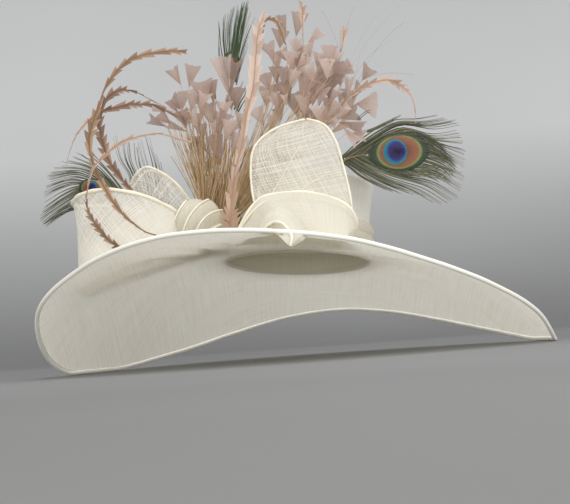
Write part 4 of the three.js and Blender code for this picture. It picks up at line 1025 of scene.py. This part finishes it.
# Left feather behind the left front loop
quill = path_at([(190, 214), (165, 203), (140, 196), (113, 192), (98, 192)], [-35, -35])
peacock_quill("left", quill, on_brim(-82, -36), 0.3)
eye_vane("peacock_left_eye", at_pixel(91, 187.5, -38), 11.5, 9.5, math.pi)
barbs("peacock_left_barbs", [
    (17, 2, 1.0, [(170, 206), (168, 194), (166, 184), (164, 171)], [(160, 204), (158, 184), (154, 162), (147, 138)],
        [(150, 200), (147, 180), (140, 164), (136, 144)], [(142, 198), (137, 178), (130, 160), (128, 141)],
        [(130, 196), (130, 176), (120, 158), (115, 135)]),
    (44, 3, 1.1, [(128, 196), (118, 182), (106, 166), (94, 150)], [(118, 192), (106, 177), (92, 166), (71, 158)],
        [(108, 188), (94, 177), (76, 171), (50, 174)], [(104, 188), (88, 182), (70, 180), (48, 187)], [(98, 190),
        (80, 187), (62, 194), (44, 206)], [(98, 192), (82, 192), (62, 204), (42, 217)], [(100, 196), (84, 200),
        (62, 210), (43, 224)], [(104, 202), (88, 208), (70, 212), (50, 222)]),
], -34, "peacock_left")

# Top feather, upright behind the left plume; its eye is low, among the fans
quill = path_at([(206, 220), (214, 170), (226, 110), (231, 84), (236, 60)], [-35, -36])
peacock_quill("top", quill, on_brim(-72, -35))
eye_vane("peacock_top_eye", at_pixel(231.5, 64, -37), 8.5, 13.0)
barbs("peacock_top_barbs", [
    (26, 3, 1.0, [(226, 86), (222, 70), (219, 56), (219, 40)], [(227, 80), (224, 60), (222, 42), (221, 22)],
        [(229, 76), (227, 56), (225, 36), (228, 12)], [(231, 74), (231, 52), (231, 30), (235, 7)], [(232, 74),
        (235, 52), (237, 28), (241, 5)], [(233, 74), (237, 50), (241, 26), (246, 1)], [(234, 76), (238, 54),
        (243, 32), (248, 6)], [(235, 78), (239, 58), (245, 36), (252, 17)], [(236, 84), (239, 70), (243, 56),
        (247, 42)]),
    (14, 3, 1.1, [(230, 78), (231, 54), (234, 32), (238, 12)], [(234, 78), (238, 54), (242, 30), (246, 3)]),
    (5, 2, 1.2, [(233, 108), (236, 98), (242, 90), (245, 84)], [(238, 112), (242, 104), (247, 96), (249, 90)]),
], -36, "peacock_top", dark=1.3, material="green_barb")
barbs("peacock_herl", [
    (8, 2, 1.0, [(234, 246), (234, 234), (237, 216), (244, 194)], [(243, 246), (243, 234), (240, 218), (231, 202)]),
], -112, dark=2.4)

# Floor that sweeps up behind, and soft studio light
FLOOR_END, SWEEP_RADIUS, WALL_TOP, HALF_FLOOR = 1.6, 2.0, 6.0, 9.0  # metres
turn = np.linspace(0.05, math.pi / 2, 24)
rise = zip(FLOOR_END + SWEEP_RADIUS * np.sin(turn), SWEEP_RADIUS - SWEEP_RADIUS * np.cos(turn))
profile = [(-4.5, 0.0), (FLOOR_END, 0.0), *rise, (FLOOR_END + SWEEP_RADIUS, WALL_TOP)]
xs = np.linspace(-HALF_FLOOR, HALF_FLOOR, 13)
points = np.array([[(x, y, z) for x in xs] for y, z in profile]) / MM - SHIFT
floor = mesh_piece("floor", points, grid_faces(len(profile), len(xs)))
n = Nodes("backdrop")
where = n.node("TexCoord").outputs["Object"]
height = n.node("SeparateXYZ", {0: where}).outputs[2]
# Painted shade: the floor is a dark grey that turns pale with height up the sweep, with faint noise.
tone = n.math("MULTIPLY_ADD", n.noise(where, 0.7), 0.2, n.spread(height, 0.0, 0.62, 0.0, 0.56))
floor.data.materials.append(n.output(n.surface(n.mix(tone, (84, 84, 83), (250, 250, 250)), 0.9, 0.0)))


def softbox(name, place, target, size, power, colour=(1, 1, 1)):
    data = bpy.data.lights.new(name, "AREA")
    data.shape, data.size, data.size_y = "RECTANGLE", *size
    data.energy, data.color = power, colour
    lamp = bpy.data.objects.new(name, data)
    lamp.location = place
    lamp.rotation_mode = "QUATERNION"
    lamp.rotation_quaternion = (Vector(target) - Vector(place)).to_track_quat("-Z", "Y")
    bpy.context.scene.collection.objects.link(lamp)


softbox("key", (-1.6, -1.9, 1.9), (0, 0, 0.15), (1.6, 1.6), 11.0, (1.0, 0.985, 0.96))
softbox("fill", (2.0, -1.4, 1.1), (0, 0, 0.15), (1.5, 1.5), 26.0)
softbox("top", (0.1, 0.2, 2.4), (0, 0, 0.1), (1.8, 1.8), 26.0)
softbox("front", (-0.3, -2.6, 0.3), (0, 0, 0.15), (2.0, 0.5), 23.0, (1.0, 0.98, 0.93))
world = bpy.data.worlds.new("studio")
world.use_nodes = True
world.node_tree.nodes["Background"].inputs[0].default_value = (0.97, 0.98, 1.0, 1.0)
world.node_tree.nodes["Background"].inputs[1].default_value = 0.72
bpy.context.scene.world = world
bpy.context.scene.view_settings.view_transform = "Standard"
